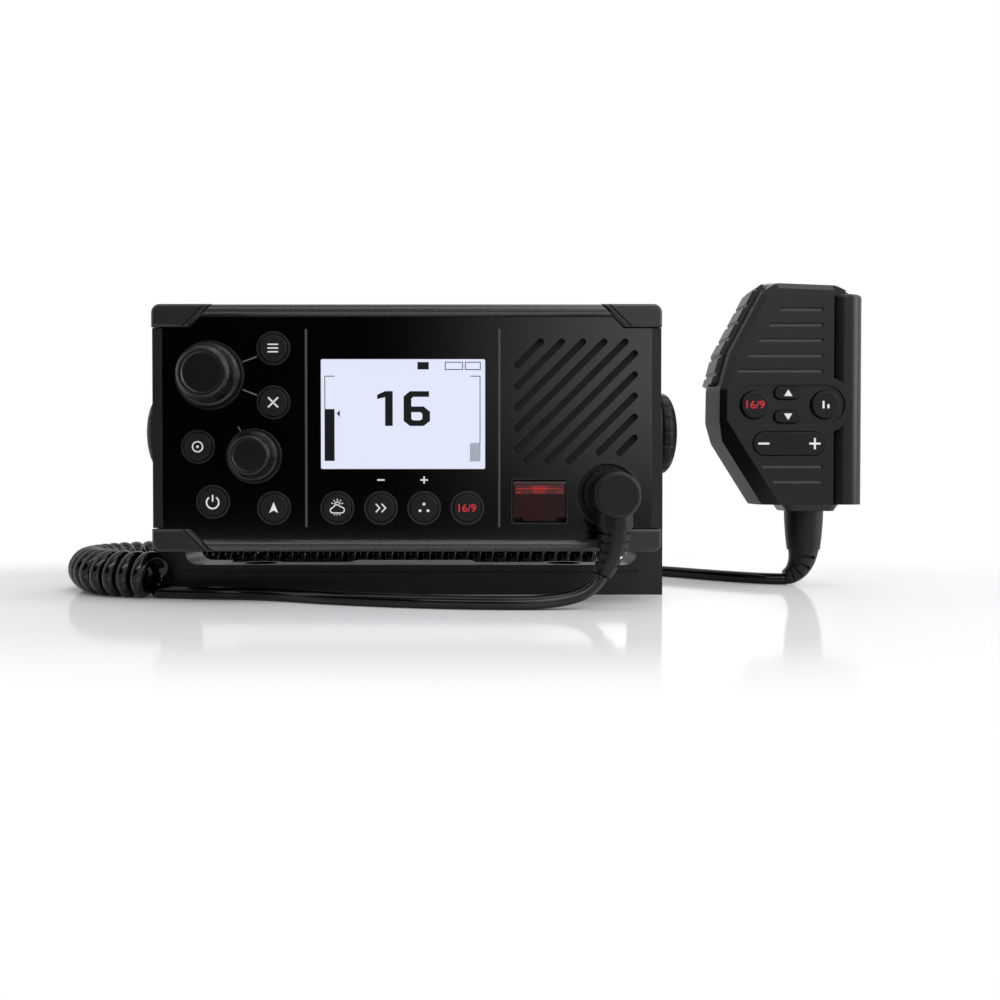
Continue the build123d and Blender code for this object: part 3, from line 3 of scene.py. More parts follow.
import bpy
import numpy as np
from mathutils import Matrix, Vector


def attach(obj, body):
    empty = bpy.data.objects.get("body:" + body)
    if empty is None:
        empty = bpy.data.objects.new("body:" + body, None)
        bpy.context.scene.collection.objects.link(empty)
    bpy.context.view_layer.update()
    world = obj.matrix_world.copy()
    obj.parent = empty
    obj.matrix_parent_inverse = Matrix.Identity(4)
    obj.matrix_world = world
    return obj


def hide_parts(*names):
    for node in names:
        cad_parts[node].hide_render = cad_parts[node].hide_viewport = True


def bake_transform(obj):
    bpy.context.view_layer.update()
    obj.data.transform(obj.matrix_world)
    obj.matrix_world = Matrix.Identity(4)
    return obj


# VHF marine radio in its gimbal bracket. Metres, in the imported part's own frame:
# X to the viewer's right, the front faces -Y, Z up. Lengths named here are millimetres.
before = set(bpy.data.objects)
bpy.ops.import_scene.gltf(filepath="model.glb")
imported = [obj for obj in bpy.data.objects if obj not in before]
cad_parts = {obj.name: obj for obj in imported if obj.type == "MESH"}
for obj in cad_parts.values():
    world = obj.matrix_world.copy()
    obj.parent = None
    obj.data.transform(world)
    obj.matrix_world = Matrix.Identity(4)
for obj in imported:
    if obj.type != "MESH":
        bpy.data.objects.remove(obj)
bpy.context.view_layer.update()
mm = 0.001

# ---- the view ----
eye = (22.7, -451.0, 46.6)
look_down_deg = 1.06
lens_mm = 39.06
side_shift = 0.033
sensor_mm = 36.0

# ---- cord ----
cord_r = 2.5
coil_r = 9.25
curl_r = 2.9
helix_r = coil_r - curl_r
helix_pitch = 6.3
curl_steps = 24
cord_step = 1.2
line_steps = 24
front_route = [
    (71.4, -59.7, 12.5), (69.8, -59.7, 9.3), (63.2, -61.0, 4.5), (49.0, -62.8, 2.5), (28.0, -62.3, 2.5),
    (2.0, -57.2, 2.5), (-27.0, -47.0, 2.5), (-55.5, -30.8, 2.5), (-80.2, -28.9, 2.5), (-99.5, -23.5, 2.5),
]
coil_route = [
    (-99.5, -23.5, 9.25), (-114.5, -19.3, 9.25), (-128.5, -9.0, 9.25), (-140.0, 14.0, 9.25),
    (-135.0, 41.0, 9.25), (-110.0, 62.0, 9.25), (-79.0, 79.5, 9.25), (-40.0, 89.0, 9.25),
    (4.0, 91.5, 9.25), (44.0, 91.0, 9.25), (89.0, 87.6, 9.25),
]
rear_route = [
    (89.0, 87.6, 2.5), (99.0, 86.2, 2.5), (113.0, 78.5, 2.5), (124.5, 66.5, 2.5), (134.5, 54.5, 2.5),
    (144.5, 44.4, 2.5), (153.0, 36.8, 2.5), (159.0, 33.4, 2.5), (165.0, 32.5, 2.5),
]

# ---- the plug's boot: its ends, its radius at four shares of its height, its core's share of that ----
boot_top = (75.9, -59.7, 29.6)
boot_end = (71.4, -59.7, 12.5)
boot_curve = 1.9
boot_shares = (0.0, 0.35, 0.7, 1.0)
boot_radii = (6.2, 5.6, 4.6, 3.4)
boot_core = 0.8
boot_rings = 40


# ---- materials ----
def linear(hex_colour):
    """An sRGB hex colour as linear red, green, blue and a full alpha."""
    parts = [int(hex_colour[i:i + 2], 16) / 255 for i in (1, 3, 5)]
    return tuple(c / 12.92 if c <= 0.04045 else ((c + 0.055) / 1.055) ** 2.4 for c in parts) + (1.0,)


def add(tree, kind, inputs=None, **settings):
    """Adds one shader node: its settings, then a value or a link for each named input."""
    made = tree.nodes.new("ShaderNode" + kind)
    for name, value in settings.items():
        setattr(made, name, value)
    for socket, value in (inputs or {}).items():
        if isinstance(value, bpy.types.NodeSocket):
            tree.links.new(value, made.inputs[socket])
        else:
            made.inputs[socket].default_value = value
    return made


def start_material(name):
    """An empty material with its output node."""
    made = bpy.data.materials.new(name)
    made.use_nodes = True
    made.node_tree.nodes.clear()
    return made, made.node_tree, made.node_tree.nodes.new("ShaderNodeOutputMaterial")


def moulded(name, dark, light, roughness, grain_mm, grain_depth, edge_mm=0.25, **surface):
    """A moulded surface: slow colour drift, a spark-eroded grain and softened edges."""
    made, tree, out = start_material(name)
    place = add(tree, "TexCoord").outputs["Object"]
    drift = add(tree, "TexNoise", {"Vector": place, "Scale": 18.0, "Detail": 3.0}).outputs["Fac"]
    tone = add(tree, "MixRGB", {"Fac": drift, "Color1": linear(dark), "Color2": linear(light)})
    grains = {"Vector": place, "Scale": 1.0 / (grain_mm * mm), "Detail": 2.0}
    grain = add(tree, "TexNoise", grains).outputs["Fac"]
    spread = 0.06
    uneven = {"Value": grain, "To Min": roughness - spread, "To Max": roughness + spread}
    rough = add(tree, "MapRange", uneven)
    edge = add(tree, "Bevel", {"Radius": edge_mm * mm}, samples=4).outputs["Normal"]
    bump = add(tree, "Bump", {"Height": grain, "Normal": edge, "Distance": grain_depth * mm, "Strength": 0.5})
    shader = add(tree, "BsdfPrincipled", {
        "Base Color": tone.outputs["Color"], "Roughness": rough.outputs["Result"],
        "Normal": bump.outputs["Normal"], **surface,
    })
    tree.links.new(shader.outputs["BSDF"], out.inputs["Surface"])
    return made


# glass-filled nylon from a spark-eroded mould: satin black with a fine even grain
case_nylon = moulded("glass_filled_nylon_case", "#080809", "#0c0c0d", 0.4, 0.35, 0.016, IOR=1.4)
# the same nylon on the hand piece, whose grain is finer and a shade lighter
hand_nylon = moulded("glass_filled_nylon_hand_piece", "#070708", "#0a0a0b", 0.3, 0.3, 0.01, IOR=1.39)
# ABS trim with a silkier skin; its base colour is lifted well above the ABS's own black as a painted
# highlight along the bars
trim_abs_painted_highlight = moulded("satin_abs_trim_painted_highlight", "#242425", "#2a2a2b", 0.27, 0.3, 0.004, edge_mm=0.4, IOR=1.62)
# corner caps of the same ABS near its own dark colour, with a matt skin; they read darker than the bars
# beside them, whose lighter colour is painted highlight
cap_abs = moulded("matt_abs_cap", "#101011", "#141415", 0.33, 0.3, 0.006, edge_mm=0.4, IOR=1.5)
# raised rings of the same ABS, darker
ring_abs = moulded("satin_abs_ring", "#0a0a0b", "#0f0f10", 0.3, 0.3, 0.006, edge_mm=0.2, IOR=1.5)
# hard-coated acrylic face: deep black with a silky clear skin
face_acrylic = moulded("hard_coated_acrylic_face", "#010101", "#020202", 0.11, 0.5, 0.0005, IOR=1.49)
# silicone keys: soft dark grey, a dry sheen
key_silicone = moulded("silicone_key", "#0d0d0f", "#111113", 0.42, 0.25, 0.004, IOR=1.3)
# ABS knobs with a fine matt grain
knob_abs = moulded("satin_abs_knob", "#070708", "#0b0b0c", 0.27, 0.3, 0.004, IOR=1.45)
# glass-filled nylon hand knobs: duller than the face knobs
gimbal_nylon = moulded("glass_filled_nylon_hand_knob", "#070708", "#0b0b0c", 0.42, 0.3, 0.01, IOR=1.28)
# painted grey strips
grey_strip = moulded("grey_paint_strip", "#38383b", "#3e3e41", 0.4, 0.4, 0.004, IOR=1.5)
# die-cast aluminium under black powder coat: a pebbled skin
cast_chassis = moulded("black_powder_coat_casting", "#121214", "#18181a", 0.5, 0.6, 0.05, IOR=1.5)
# nitrile and EPDM rubber: near black and dull
black_rubber = moulded("moulded_rubber", "#070708", "#0a0a0b", 0.36, 0.3, 0.006, IOR=1.35)
# polyurethane cord jacket: glossy black
cord_jacket = moulded("polyurethane_cord_jacket", "#030304", "#050506", 0.13, 0.5, 0.001, IOR=1.42)
# zinc-plated steel: a cool bright grey
zinc_steel = moulded("zinc_plated_steel", "#8f9194", "#a2a4a7", 0.3, 0.3, 0.005, Metallic=1.0)
# turned brass inserts: warm and bright
turned_brass = moulded("turned_brass", "#a07a36", "#b58c45", 0.3, 0.3, 0.005, Metallic=1.0)
# green solder mask on a glass-fibre board: a thin even gloss
solder_mask = moulded("green_solder_mask", "#0b3a1c", "#0e4622", 0.3, 0.5, 0.005, IOR=1.5)
# ABS key in red: satin, slightly uneven in tone
red_plastic = moulded("red_abs_key", "#7a0d0d", "#8a1212", 0.4, 0.3, 0.006, IOR=1.5)
# pad-printed ink, white, grey and red: flat and a little rough
white_ink = moulded("white_pad_printed_ink", "#dedfe0", "#e8e9ea", 0.6, 0.2, 0.003, edge_mm=0.02, IOR=1.45)
grey_ink = moulded("grey_pad_printed_ink", "#56565a", "#5e5e62", 0.6, 0.2, 0.003, edge_mm=0.02, IOR=1.45)
red_ink = moulded("red_pad_printed_ink", "#c01c24", "#cc262e", 0.6, 0.2, 0.003, edge_mm=0.02, IOR=1.45)
# switched liquid crystal: a blue-black with a faint sheen
dark_crystal = moulded("dark_liquid_crystal", "#08090c", "#0b0c10", 0.5, 0.4, 0.001, edge_mm=0.02, IOR=1.3)
# painted highlight: bright red polycarbonate plates that stand for the glints where the cover's hinge catches
# the light
red_glint_paint = moulded("painted_red_glint", "#b41414", "#c41c1c", 0.2, 0.3, 0.003, edge_mm=0.1, IOR=1.58)
# a deeper red band of the same polycarbonate, laid under the painted glints
red_glow = moulded("deep_red_polycarbonate", "#4c1313", "#571818", 0.25, 0.3, 0.003, edge_mm=0.1, IOR=1.5)
# the lighter skin that the mould leaves on the floor of a groove
groove_skin = moulded("pale_groove_skin", "#3c3c3e", "#444446", 0.5, 0.3, 0.01, edge_mm=0.1, IOR=1.5)


def woven_cloth():
    """Loudspeaker cloth: two crossing sets of threads, 0.6 mm apart, over a dark ground."""
    made, tree, out = start_material("woven_loudspeaker_cloth")
    place = add(tree, "TexCoord").outputs["Object"]
    thread_mm, bands_in_unit = 0.6, 20
    thread = 2 * math.pi / (bands_in_unit * thread_mm * mm)
    level = add(tree, "TexWave", {"Vector": place, "Scale": thread}, bands_direction="Z").outputs["Fac"]
    upright = add(tree, "TexWave", {"Vector": place, "Scale": thread}, bands_direction="X").outputs["Fac"]
    weave = add(tree, "Math", {0: level, 1: upright}, operation="MULTIPLY").outputs["Value"]
    tone = add(tree, "MixRGB", {"Fac": weave, "Color1": linear("#070708"), "Color2": linear("#29292b")})
    bump = add(tree, "Bump", {"Height": weave, "Distance": 0.1 * mm, "Strength": 0.8})
    shader = add(tree, "BsdfPrincipled", {
        "Base Color": tone.outputs["Color"], "Roughness": 0.8, "Normal": bump.outputs["Normal"],
    })
    tree.links.new(shader.outputs["BSDF"], out.inputs["Surface"])
    return made


def tinted_cover():
    """Smoked red polycarbonate: light passes through it tinted, with a glossy skin."""
    made, tree, out = start_material("smoked_red_polycarbonate")
    clear = add(tree, "BsdfTransparent", {"Color": linear("#8c4040")})
    skin = add(tree, "BsdfPrincipled", {"Base Color": linear("#361818"), "Roughness": 0.14, "IOR": 1.5})
    mix = add(tree, "MixShader", {0: 0.6, 1: clear.outputs["BSDF"], 2: skin.outputs["BSDF"]})
    tree.links.new(mix.outputs["Shader"], out.inputs["Surface"])
    return made


def clear_window():
    """A thin clear acrylic window: mostly see-through, with a light surface reflection."""
    made, tree, out = start_material("clear_acrylic_window")
    clear = add(tree, "BsdfTransparent", {"Color": (1, 1, 1, 1)})
    skin = add(tree, "BsdfGlossy", {"Color": (1, 1, 1, 1), "Roughness": 0.03})
    share = add(tree, "Fresnel", {"IOR": 1.3})
    mix = add(tree, "MixShader", {0: share.outputs["Fac"], 1: clear.outputs["BSDF"], 2: skin.outputs["BSDF"]})
    tree.links.new(mix.outputs["Shader"], out.inputs["Surface"])
    return made


def lit_display():
    """A white-backlit liquid crystal panel: a pale lilac glow, slightly uneven."""
    made, tree, out = start_material("backlit_display_panel")
    place = add(tree, "TexCoord").outputs["Object"]
    drift = add(tree, "TexNoise", {"Vector": place, "Scale": 12.0}).outputs["Fac"]
    tone = add(tree, "MixRGB", {"Fac": drift, "Color1": linear("#e1e6fb"), "Color2": linear("#e7ebfd")})
    shader = add(tree, "BsdfPrincipled", {
        "Base Color": linear("#202028"), "Roughness": 0.5,
        "Emission Color": tone.outputs["Color"], "Emission Strength": 0.97,
    })
    tree.links.new(shader.outputs["BSDF"], out.inputs["Surface"])
    return made


speaker_cloth = woven_cloth()
red_cover = tinted_cover()
window_acrylic = clear_window()
display_glow = lit_display()

finishes = {
    case_nylon: ["front_case", "mounting_bracket", "mic_socket", "distress_frame"],
    hand_nylon: ["mic_front_case", "mic_rear_case", "mic_collar", "talk_key"],
    # the trim bars take the lightened copy of the ABS; its extra lightness is painted highlight
    trim_abs_painted_highlight: ["trim_bars"],
    cap_abs: ["corner_caps"],
    ring_abs: ["panel_rings"],
    face_acrylic: ["face_panel"],
    key_silicone: ["menu_key", "cancel_key", "info_key", "power_key", "mark_key", "weather_key", "scan_key",
                   "watch_key", "call_channel_key", "mic_call_key", "mic_power_level_key", "mic_up_key",
                   "mic_down_key", "mic_volume_rocker"],
    knob_abs: ["channel_knob", "volume_knob", "left_gimbal_knob", "right_gimbal_knob", "channel_push_cup",
               "volume_push_cup", "mic_hanger_stud"],
    grey_strip: ["divider_bars"],
    window_acrylic: ["display_window"],
    display_glow: ["lcd_module"],
    red_cover: ["distress_cover"],
    red_plastic: ["distress_button"],
    solder_mask: ["front_board", "main_board", "mic_board"],
    cast_chassis: ["chassis", "speaker"],
    zinc_steel: ["case_screws", "rear_sockets", "mic_screws"],
    turned_brass: ["pivot_inserts"],
    speaker_cloth: ["grille_screen"],
    black_rubber: ["case_gasket", "keypad_mat", "pivot_washers", "cable_glands", "plug_body", "plug_ring",
                   "plug_boot", "mic_boot"],
    cord_jacket: ["cord_lead", "floor_cord", "coiled_cord", "rear_cord"],
}
for finish, names in finishes.items():
    for name in names:
        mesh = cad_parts[name].data
        mesh.materials.clear()
        mesh.materials.append(finish)


# ---- meshes from arrays ----
def unit(rows):
    """Each row scaled to length one."""
    return rows / np.linalg.norm(rows, axis=-1, keepdims=True)


def mesh_of(name, points, faces, finish, smooth=True):
    """A mesh object at the origin from an array of points and a list of faces."""
    data = bpy.data.meshes.new(name)
    data.from_pydata(points.tolist(), [], faces)
    data.materials.append(finish)
    data.shade_smooth() if smooth else data.shade_flat()
    made = bpy.data.objects.new(name, data)
    bpy.context.scene.collection.objects.link(made)
    return made


def smooth_line(name, route, steps):
    """Points along the NURBS curve of order 3 that has the route, in millimetres, as control points."""
    curve = bpy.data.curves.new(name, "CURVE")
    curve.dimensions = "3D"
    spline = curve.splines.new("NURBS")
    spline.points.add(len(route) - 1)
    for point, spot in zip(spline.points, route):
        point.co = (*(v * mm for v in spot), 1.0)
    spline.order_u = 3
    spline.use_endpoint_u = True
    spline.resolution_u = steps
    holder = bpy.data.objects.new(name, curve)
    bpy.context.scene.collection.objects.link(holder)
    line = bpy.data.meshes.new_from_object(holder)
    co = np.empty(len(line.vertices) * 3)
    line.vertices.foreach_get("co", co)
    bpy.data.objects.remove(holder)
    bpy.data.meshes.remove(line)
    bpy.data.curves.remove(curve)
    return co.reshape(-1, 3)


def ring_quads(rows, around):
    """Four-sided faces between each ring of points and the next, every ring closed on itself."""
    i, j = np.meshgrid(np.arange(rows - 1), np.arange(around), indexing="ij")
    after = (j + 1) % around
    corners = [i * around + j, i * around + after, (i + 1) * around + after, (i + 1) * around + j]
    return np.stack(corners, -1).reshape(-1, 4)


def tube(name, path, out, radius, finish, sides=20):
    """A round tube with closed ends: about each point of the path lies a ring of points, the radius times
    the cosine of the angle along out and the radius times the sine along tangent x out. The radius is
    one number or one for each point of the path."""
    tangent = unit(np.gradient(path, axis=0))
    first = unit(out - (out * tangent).sum(1, keepdims=True) * tangent)
    second = np.cross(tangent, first)
    turn = np.linspace(0, 2 * math.pi, sides, endpoint=False)
    across = first[:, None] * np.cos(turn)[None, :, None] + second[:, None] * np.sin(turn)[None, :, None]
    rings = path[:, None] + np.reshape(radius, (-1, 1, 1)) * across
    faces = ring_quads(len(path), sides).tolist()
    faces.append(list(range(sides))[::-1])
    faces.append([(len(path) - 1) * sides + k for k in range(sides)])
    return mesh_of(name, rings.reshape(-1, 3), faces, finish)


def evenly(path, step):
    """The path again with points a step apart along it."""
    run = np.concatenate([[0], np.cumsum(np.linalg.norm(np.diff(path, axis=0), axis=1))])
    at = np.linspace(0, run[-1], max(2, int(round(run[-1] / step)) + 1))
    return np.stack([np.interp(at, run, path[:, k]) for k in range(3)], -1), at


def stroke(line, width):
    """The outline of a line of even width: each point goes half the width out along its mitre, then back."""
    line = np.array(line, float)
    ahead = unit(np.diff(line, axis=0))
    across = np.stack([-ahead[:, 1], ahead[:, 0]], -1)
    corner = (across[:-1] + across[1:]) / (1 + (across[:-1] * across[1:]).sum(1, keepdims=True))
    mitre = np.concatenate([across[:1], corner, across[-1:]]) * width / 2
    return np.concatenate([line + mitre, (line - mitre)[::-1]])


def arc(centre, r, start, end, steps=20):
    """Points on a circle of radius r between two angles in degrees, anticlockwise from the right."""
    turn = np.radians(np.linspace(start, end, steps))
    return np.array(centre) + r * np.stack([np.cos(turn), np.sin(turn)], -1)


def ring(centre, r, width):
    """A circle of even width, as the outlines of its two halves."""
    return [stroke(arc(centre, r, 0, 180), width), stroke(arc(centre, r, 180, 360), width)]


def boxed(x0, x1, z0, z1):
    """The corners of an upright box, anticlockwise."""
    return np.array([(x0, z0), (x1, z0), (x1, z1), (x0, z1)])


def frame_of(x0, x1, z0, z1, width):
    """The four sides of an upright box, each a bar of this width."""
    return [boxed(x0, x1, z0, z0 + width), boxed(x0, x1, z1 - width, z1),
            boxed(x0, x0 + width, z0 + width, z1 - width), boxed(x1 - width, x1, z0 + width, z1 - width)]


def plates(name, body, finish, front_y, outlines, place=(0.0, 0.0), thick=0.06):
    """Thin plates facing -Y: each outline in X and Z, moved to place, from front_y back by its thickness."""
    points, faces, start = [], [], 0
    for rim in outlines:
        turned = (rim[:, 0] * np.roll(rim[:, 1], -1) - np.roll(rim[:, 0], -1) * rim[:, 1]).sum() < 0
        rim = (rim[::-1] if turned else rim) + np.array(place)
        n = len(rim)
        for y in (front_y, front_y + thick):
            points.append(np.column_stack([rim[:, 0], np.full(n, y), rim[:, 1]]) * mm)
        i = np.arange(n)
        after = (i + 1) % n
        faces.append((start + i).tolist())
        faces.append((start + n + i[::-1]).tolist())
        faces += (start + np.stack([i, n + i, n + after, after], -1)).tolist()
        start += 2 * n
    made = mesh_of(name, np.concatenate(points), faces, finish, smooth=False)
    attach(made, body)
    return made


def numerals(name, text, body, finish, place, height, front_y, narrow=0.82, bold=0.012, thick=0.06):
    """Plain figures as thin plates facing -Y: drawn flat, scaled to their height, then stood up about X."""
    font = bpy.data.curves.new(name, "FONT")
    font.body, font.offset, font.extrude = text, bold, 0.5  # any depth will do: it is scaled to thick below
    holder = bpy.data.objects.new(name, font)
    bpy.context.scene.collection.objects.link(holder)
    bpy.context.view_layer.update()
    flat = bpy.data.meshes.new_from_object(holder)
    co = np.empty(len(flat.vertices) * 3)
    flat.vertices.foreach_get("co", co)
    co = co.reshape(-1, 3)
    faces = [tuple(face.vertices) for face in flat.polygons]
    bpy.data.objects.remove(holder)
    bpy.data.meshes.remove(flat)
    bpy.data.curves.remove(font)
    low, high = co.min(0), co.max(0)
    scale = height / (high[1] - low[1])
    x = place[0] + (co[:, 0] - (low[0] + high[0]) / 2) * scale * narrow
    z = place[1] + (co[:, 1] - (low[1] + high[1]) / 2) * scale
    y = front_y + thick * (high[2] - co[:, 2]) / (high[2] - low[2])
    made = mesh_of(name, np.column_stack([x, y, z]) * mm, faces, finish, smooth=False)
    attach(made, body)
    return made


# ---- camera ----
camera = bpy.data.objects.new("camera", bpy.data.cameras.new("camera"))
camera.data.lens = lens_mm
camera.data.sensor_width = sensor_mm
camera.data.shift_x = side_shift
camera.location = [v * mm for v in eye]
camera.rotation_euler = (math.radians(90 - look_down_deg), 0, 0)
bpy.context.scene.collection.objects.link(camera)
bpy.context.scene.camera = camera


# ---- cords ----
def fill_boot():
    """The solid core that the plug boot's grooves are cut down to. At each share of the boot's height
    it has gone sideways by the whole shift times that share to the power of the boot's curve."""
    share = np.linspace(0.03, 0.97, boot_rings)
    drop = boot_top[2] - boot_end[2]
    shift = boot_top[0] - boot_end[0]
    line = np.stack([boot_top[0] - shift * share ** boot_curve, np.full(boot_rings, boot_top[1]),
                     boot_top[2] - drop * share], -1)
    radius = boot_core * np.interp(share, boot_shares, boot_radii) * mm
    back = np.tile([0.0, 1.0, 0.0], (boot_rings, 1))
    core = tube("plug_boot_core", line * mm, back, radius, black_rubber)
    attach(core, "radio")


fill_boot()


def lay_cords():
    """The plain cord in front, the curly cord round the back and the plain cord to the microphone.

    The curls stand off the coil's middle line by their radius times a spoke, which starts straight
    down and turns evenly about the line, one whole turn to a pitch."""
    up = np.array([0.0, 0.0, 1.0])
    front, _ = evenly(smooth_line("front_line", front_route, line_steps), cord_step * mm)
    wire = tube("front_cord", front, np.cross(np.gradient(front, axis=0), up), cord_r * mm, cord_jacket)
    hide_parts("cord_lead", "floor_cord")
    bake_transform(wire)

    coil_step = helix_pitch * mm / curl_steps
    middle, run = evenly(smooth_line("coil_line", coil_route, line_steps), coil_step)
    ahead = unit(np.gradient(middle, axis=0))
    side = unit(np.cross(ahead, up))
    turns = round(run[-1] / (helix_pitch * mm))
    angle = 2 * math.pi * turns * run / run[-1]
    spoke = -up * np.cos(angle)[:, None] + side * np.sin(angle)[:, None]
    helix = middle + helix_r * mm * spoke
    curls = tube("curly_cord", helix, spoke, curl_r * mm, cord_jacket, sides=14)
    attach(curls, "bracket")
    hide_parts("coiled_cord")

    rear, _ = evenly(smooth_line("rear_line", rear_route, line_steps), cord_step * mm)
    wire = tube("rear_plain_cord", rear, np.cross(np.gradient(rear, axis=0), up), cord_r * mm, cord_jacket)
    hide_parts("rear_cord")
    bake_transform(wire)


lay_cords()


# ---- printed marks and the display's picture ----
ink = 0.05
face_y = -41.0 - ink
key_top_y = -42.0 - ink
crystal_y = -38.5 - ink
hand_round_y = 12.1 - ink
hand_bar_y = 12.4 - ink
rocker_y = 12.5 - ink
key_spots = {
    "menu_key": (-50.3, 96.2), "cancel_key": (-50.3, 75.8), "info_key": (-78.8, 59.1),
    "power_key": (-73.2, 38.3), "mark_key": (-50.2, 36.0), "weather_key": (-26.3, 36.0),
    "scan_key": (-9.8, 36.0), "watch_key": (6.5, 36.0),
}
call_key_spot = (22.8, 36.0)
hand_call_spot, hand_level_spot = (145.7, 78.7), (175.7, 78.7)
hand_up_spot, hand_down_spot = (159.7, 83.7), (159.7, 73.6)
rocker_minus_spot, rocker_plus_spot = (149.4, 62.1), (171.2, 62.1)
plain_line = 0.5


def cloud():
    """A small sun behind a cloud: a half ring with rays, and a cloud's outline of three arcs and a base."""
    sun = (0.1, 1.1)
    rays = [stroke([sun + 1.75 * way, sun + 2.35 * way], 0.4)
            for way in (arc((0, 0), 1, a, a, 1)[0] for a in (20, 55, 90, 125, 160))]
    puffs = np.concatenate([arc((-1.6, -0.9), 0.95, 270, 100, 10), arc((-0.1, 0.0), 1.25, 150, 35, 10),
                            arc((1.65, -0.75), 1.1, 85, -90, 10)])
    base = stroke([(-1.6, -1.85), (1.65, -1.85)], 0.42)
    drops = [boxed(x - 0.2, x + 0.2, -2.75, -2.35) for x in (-1.0, 0.0, 1.0)]
    return [stroke(arc(sun, 1.15, 15, 165), 0.4), stroke(puffs, 0.42), base] + rays + drops


key_marks = {
    "menu_key": [boxed(-2.0, 2.0, z - 0.25, z + 0.25) for z in (-1.4, 0.0, 1.4)],
    "cancel_key": [stroke([(-1.9, -1.9), (1.9, 1.9)], 0.62), stroke([(-1.9, 1.9), (-0.31, 0.31)], 0.62),
                   stroke([(0.31, -0.31), (1.9, -1.9)], 0.62)],
    "info_key": ring((0, 0), 1.9, plain_line) + [boxed(-0.45, 0.45, -0.45, 0.45)],
    "power_key": [stroke(arc((0, -0.2), 2.3, 125, 415, 36), 0.6), stroke([(0, 2.7), (0, 0.1)], 0.6)],
    "mark_key": [np.array([(0, 2.3), (-1.7, -1.9), (0, -0.9), (1.7, -1.9)])],
    "weather_key": cloud(),
    "scan_key": [stroke([(x, 1.6), (x + 1.5, 0), (x, -1.6)], plain_line) for x in (-1.9, 0.3)],
    "watch_key": [arc((x, z), 0.55, 0, 340, 16) for x, z in ((-1.5, -1.0), (1.5, -1.0), (0.0, 1.5))],
}


def print_keys():
    """White symbols on the keys, grey lines on the face, and the red figures of the calling keys."""
    for name, spot in key_spots.items():
        plates(name + "_mark", name, white_ink, key_top_y, key_marks[name], spot)
    numerals("call_key_figures", "16/9", "call_channel_key", red_ink, call_key_spot,
             height=3.1, front_y=key_top_y, narrow=1.0)
    ends = [((-62.0, 91.1), (-56.5, 93.1)), ((-62.0, 80.7), (-56.4, 78.5)), ((-63.7, 66.7), (-62.7, 65.0))]
    lines = [stroke(pair, plain_line) for pair in ends]
    plates("face_lines", "radio", grey_ink, face_y, lines)
    signs = [boxed(-11.2, -8.4, 46.3, 46.85), boxed(5.1, 7.9, 46.3, 46.85), boxed(6.22, 6.78, 46.85, 47.95),
             boxed(6.22, 6.78, 45.2, 46.3)]
    plates("face_signs", "radio", white_ink, face_y, signs)

    numerals("hand_call_figures", "16/9", "mic_call_key", red_ink, hand_call_spot,
             height=3.4, front_y=hand_round_y, narrow=1.08)
    up = np.array([(-1.8, -1.35), (1.8, -1.35), (0.0, 1.45)])
    plates("up_mark", "mic_up_key", white_ink, hand_bar_y, [up], hand_up_spot)
    plates("down_mark", "mic_down_key", white_ink, hand_bar_y, [-up], hand_down_spot)
    bars = [boxed(-1.5, -0.6, -1.6, 1.6), boxed(0.6, 1.5, -1.6, 0.2)]
    plates("level_mark", "mic_power_level_key", white_ink, hand_round_y, bars, hand_level_spot)
    arm, half = 2.4, 0.42
    signs = [boxed(-arm, arm, -half, half)]
    plates("rocker_minus", "mic_volume_rocker", white_ink, rocker_y, signs, rocker_minus_spot)
    signs += [boxed(-half, half, half, arm), boxed(-half, half, -arm, -half)]
    plates("rocker_plus", "mic_volume_rocker", white_ink, rocker_y, signs, rocker_plus_spot)


def draw_display():
    """The picture on the display: the channel's figures, level bars, corner lines and empty boxes."""
    one = [np.array([(-11.4, 77.3), (-11.4, 78.9), (-8.4, 80.3), (-5.5, 80.3),
                     (-5.5, 67.1), (-8.4, 67.1), (-8.4, 78.0)])]
    wide, thin = 1.36, 2.15  # upright strokes are this many times as wide as level ones are tall
    bowl = [(8.3, 79.2), (1.7, 79.2), (0.1, 77.9), (0.1, 69.4), (1.7, 68.15), (5.6, 68.15), (7.2, 69.4),
            (7.2, 72.1), (5.6, 73.4), (1.56, 73.4)]
    six = [stroke(np.array(bowl) / (wide, 1.0), thin) * (wide, 1.0)]
    bars = [boxed(-31.4, -27.6, 53.8, 73.5), np.array([(-26.7, 71.8), (-25.6, 70.5), (-25.6, 73.1)]),
            boxed(3.9, 8.2, 88.5, 91.3)]
    lines = [boxed(-31.4, -31.1, 73.5, 86.1), boxed(-31.1, -27.6, 85.8, 86.1), boxed(27.5, 27.8, 60.7, 86.1),
             boxed(24.0, 27.5, 85.8, 86.1)]
    tags = frame_of(14.3, 21.2, 88.3, 91.4, 0.3) + frame_of(21.9, 27.9, 88.3, 91.4, 0.3)
    step, start_x, start_z, columns, rows = 0.5, 23.8, 53.6, 8, 14
    dots = [boxed(start_x + i * step, start_x + (i + 1) * step, start_z + k * step, start_z + (k + 1) * step)
            for i in range(columns) for k in range(rows) if (i + k) % 2 == 0]
    plates("display_picture", "radio", dark_crystal, crystal_y, one + six + bars + lines + tags + dots)


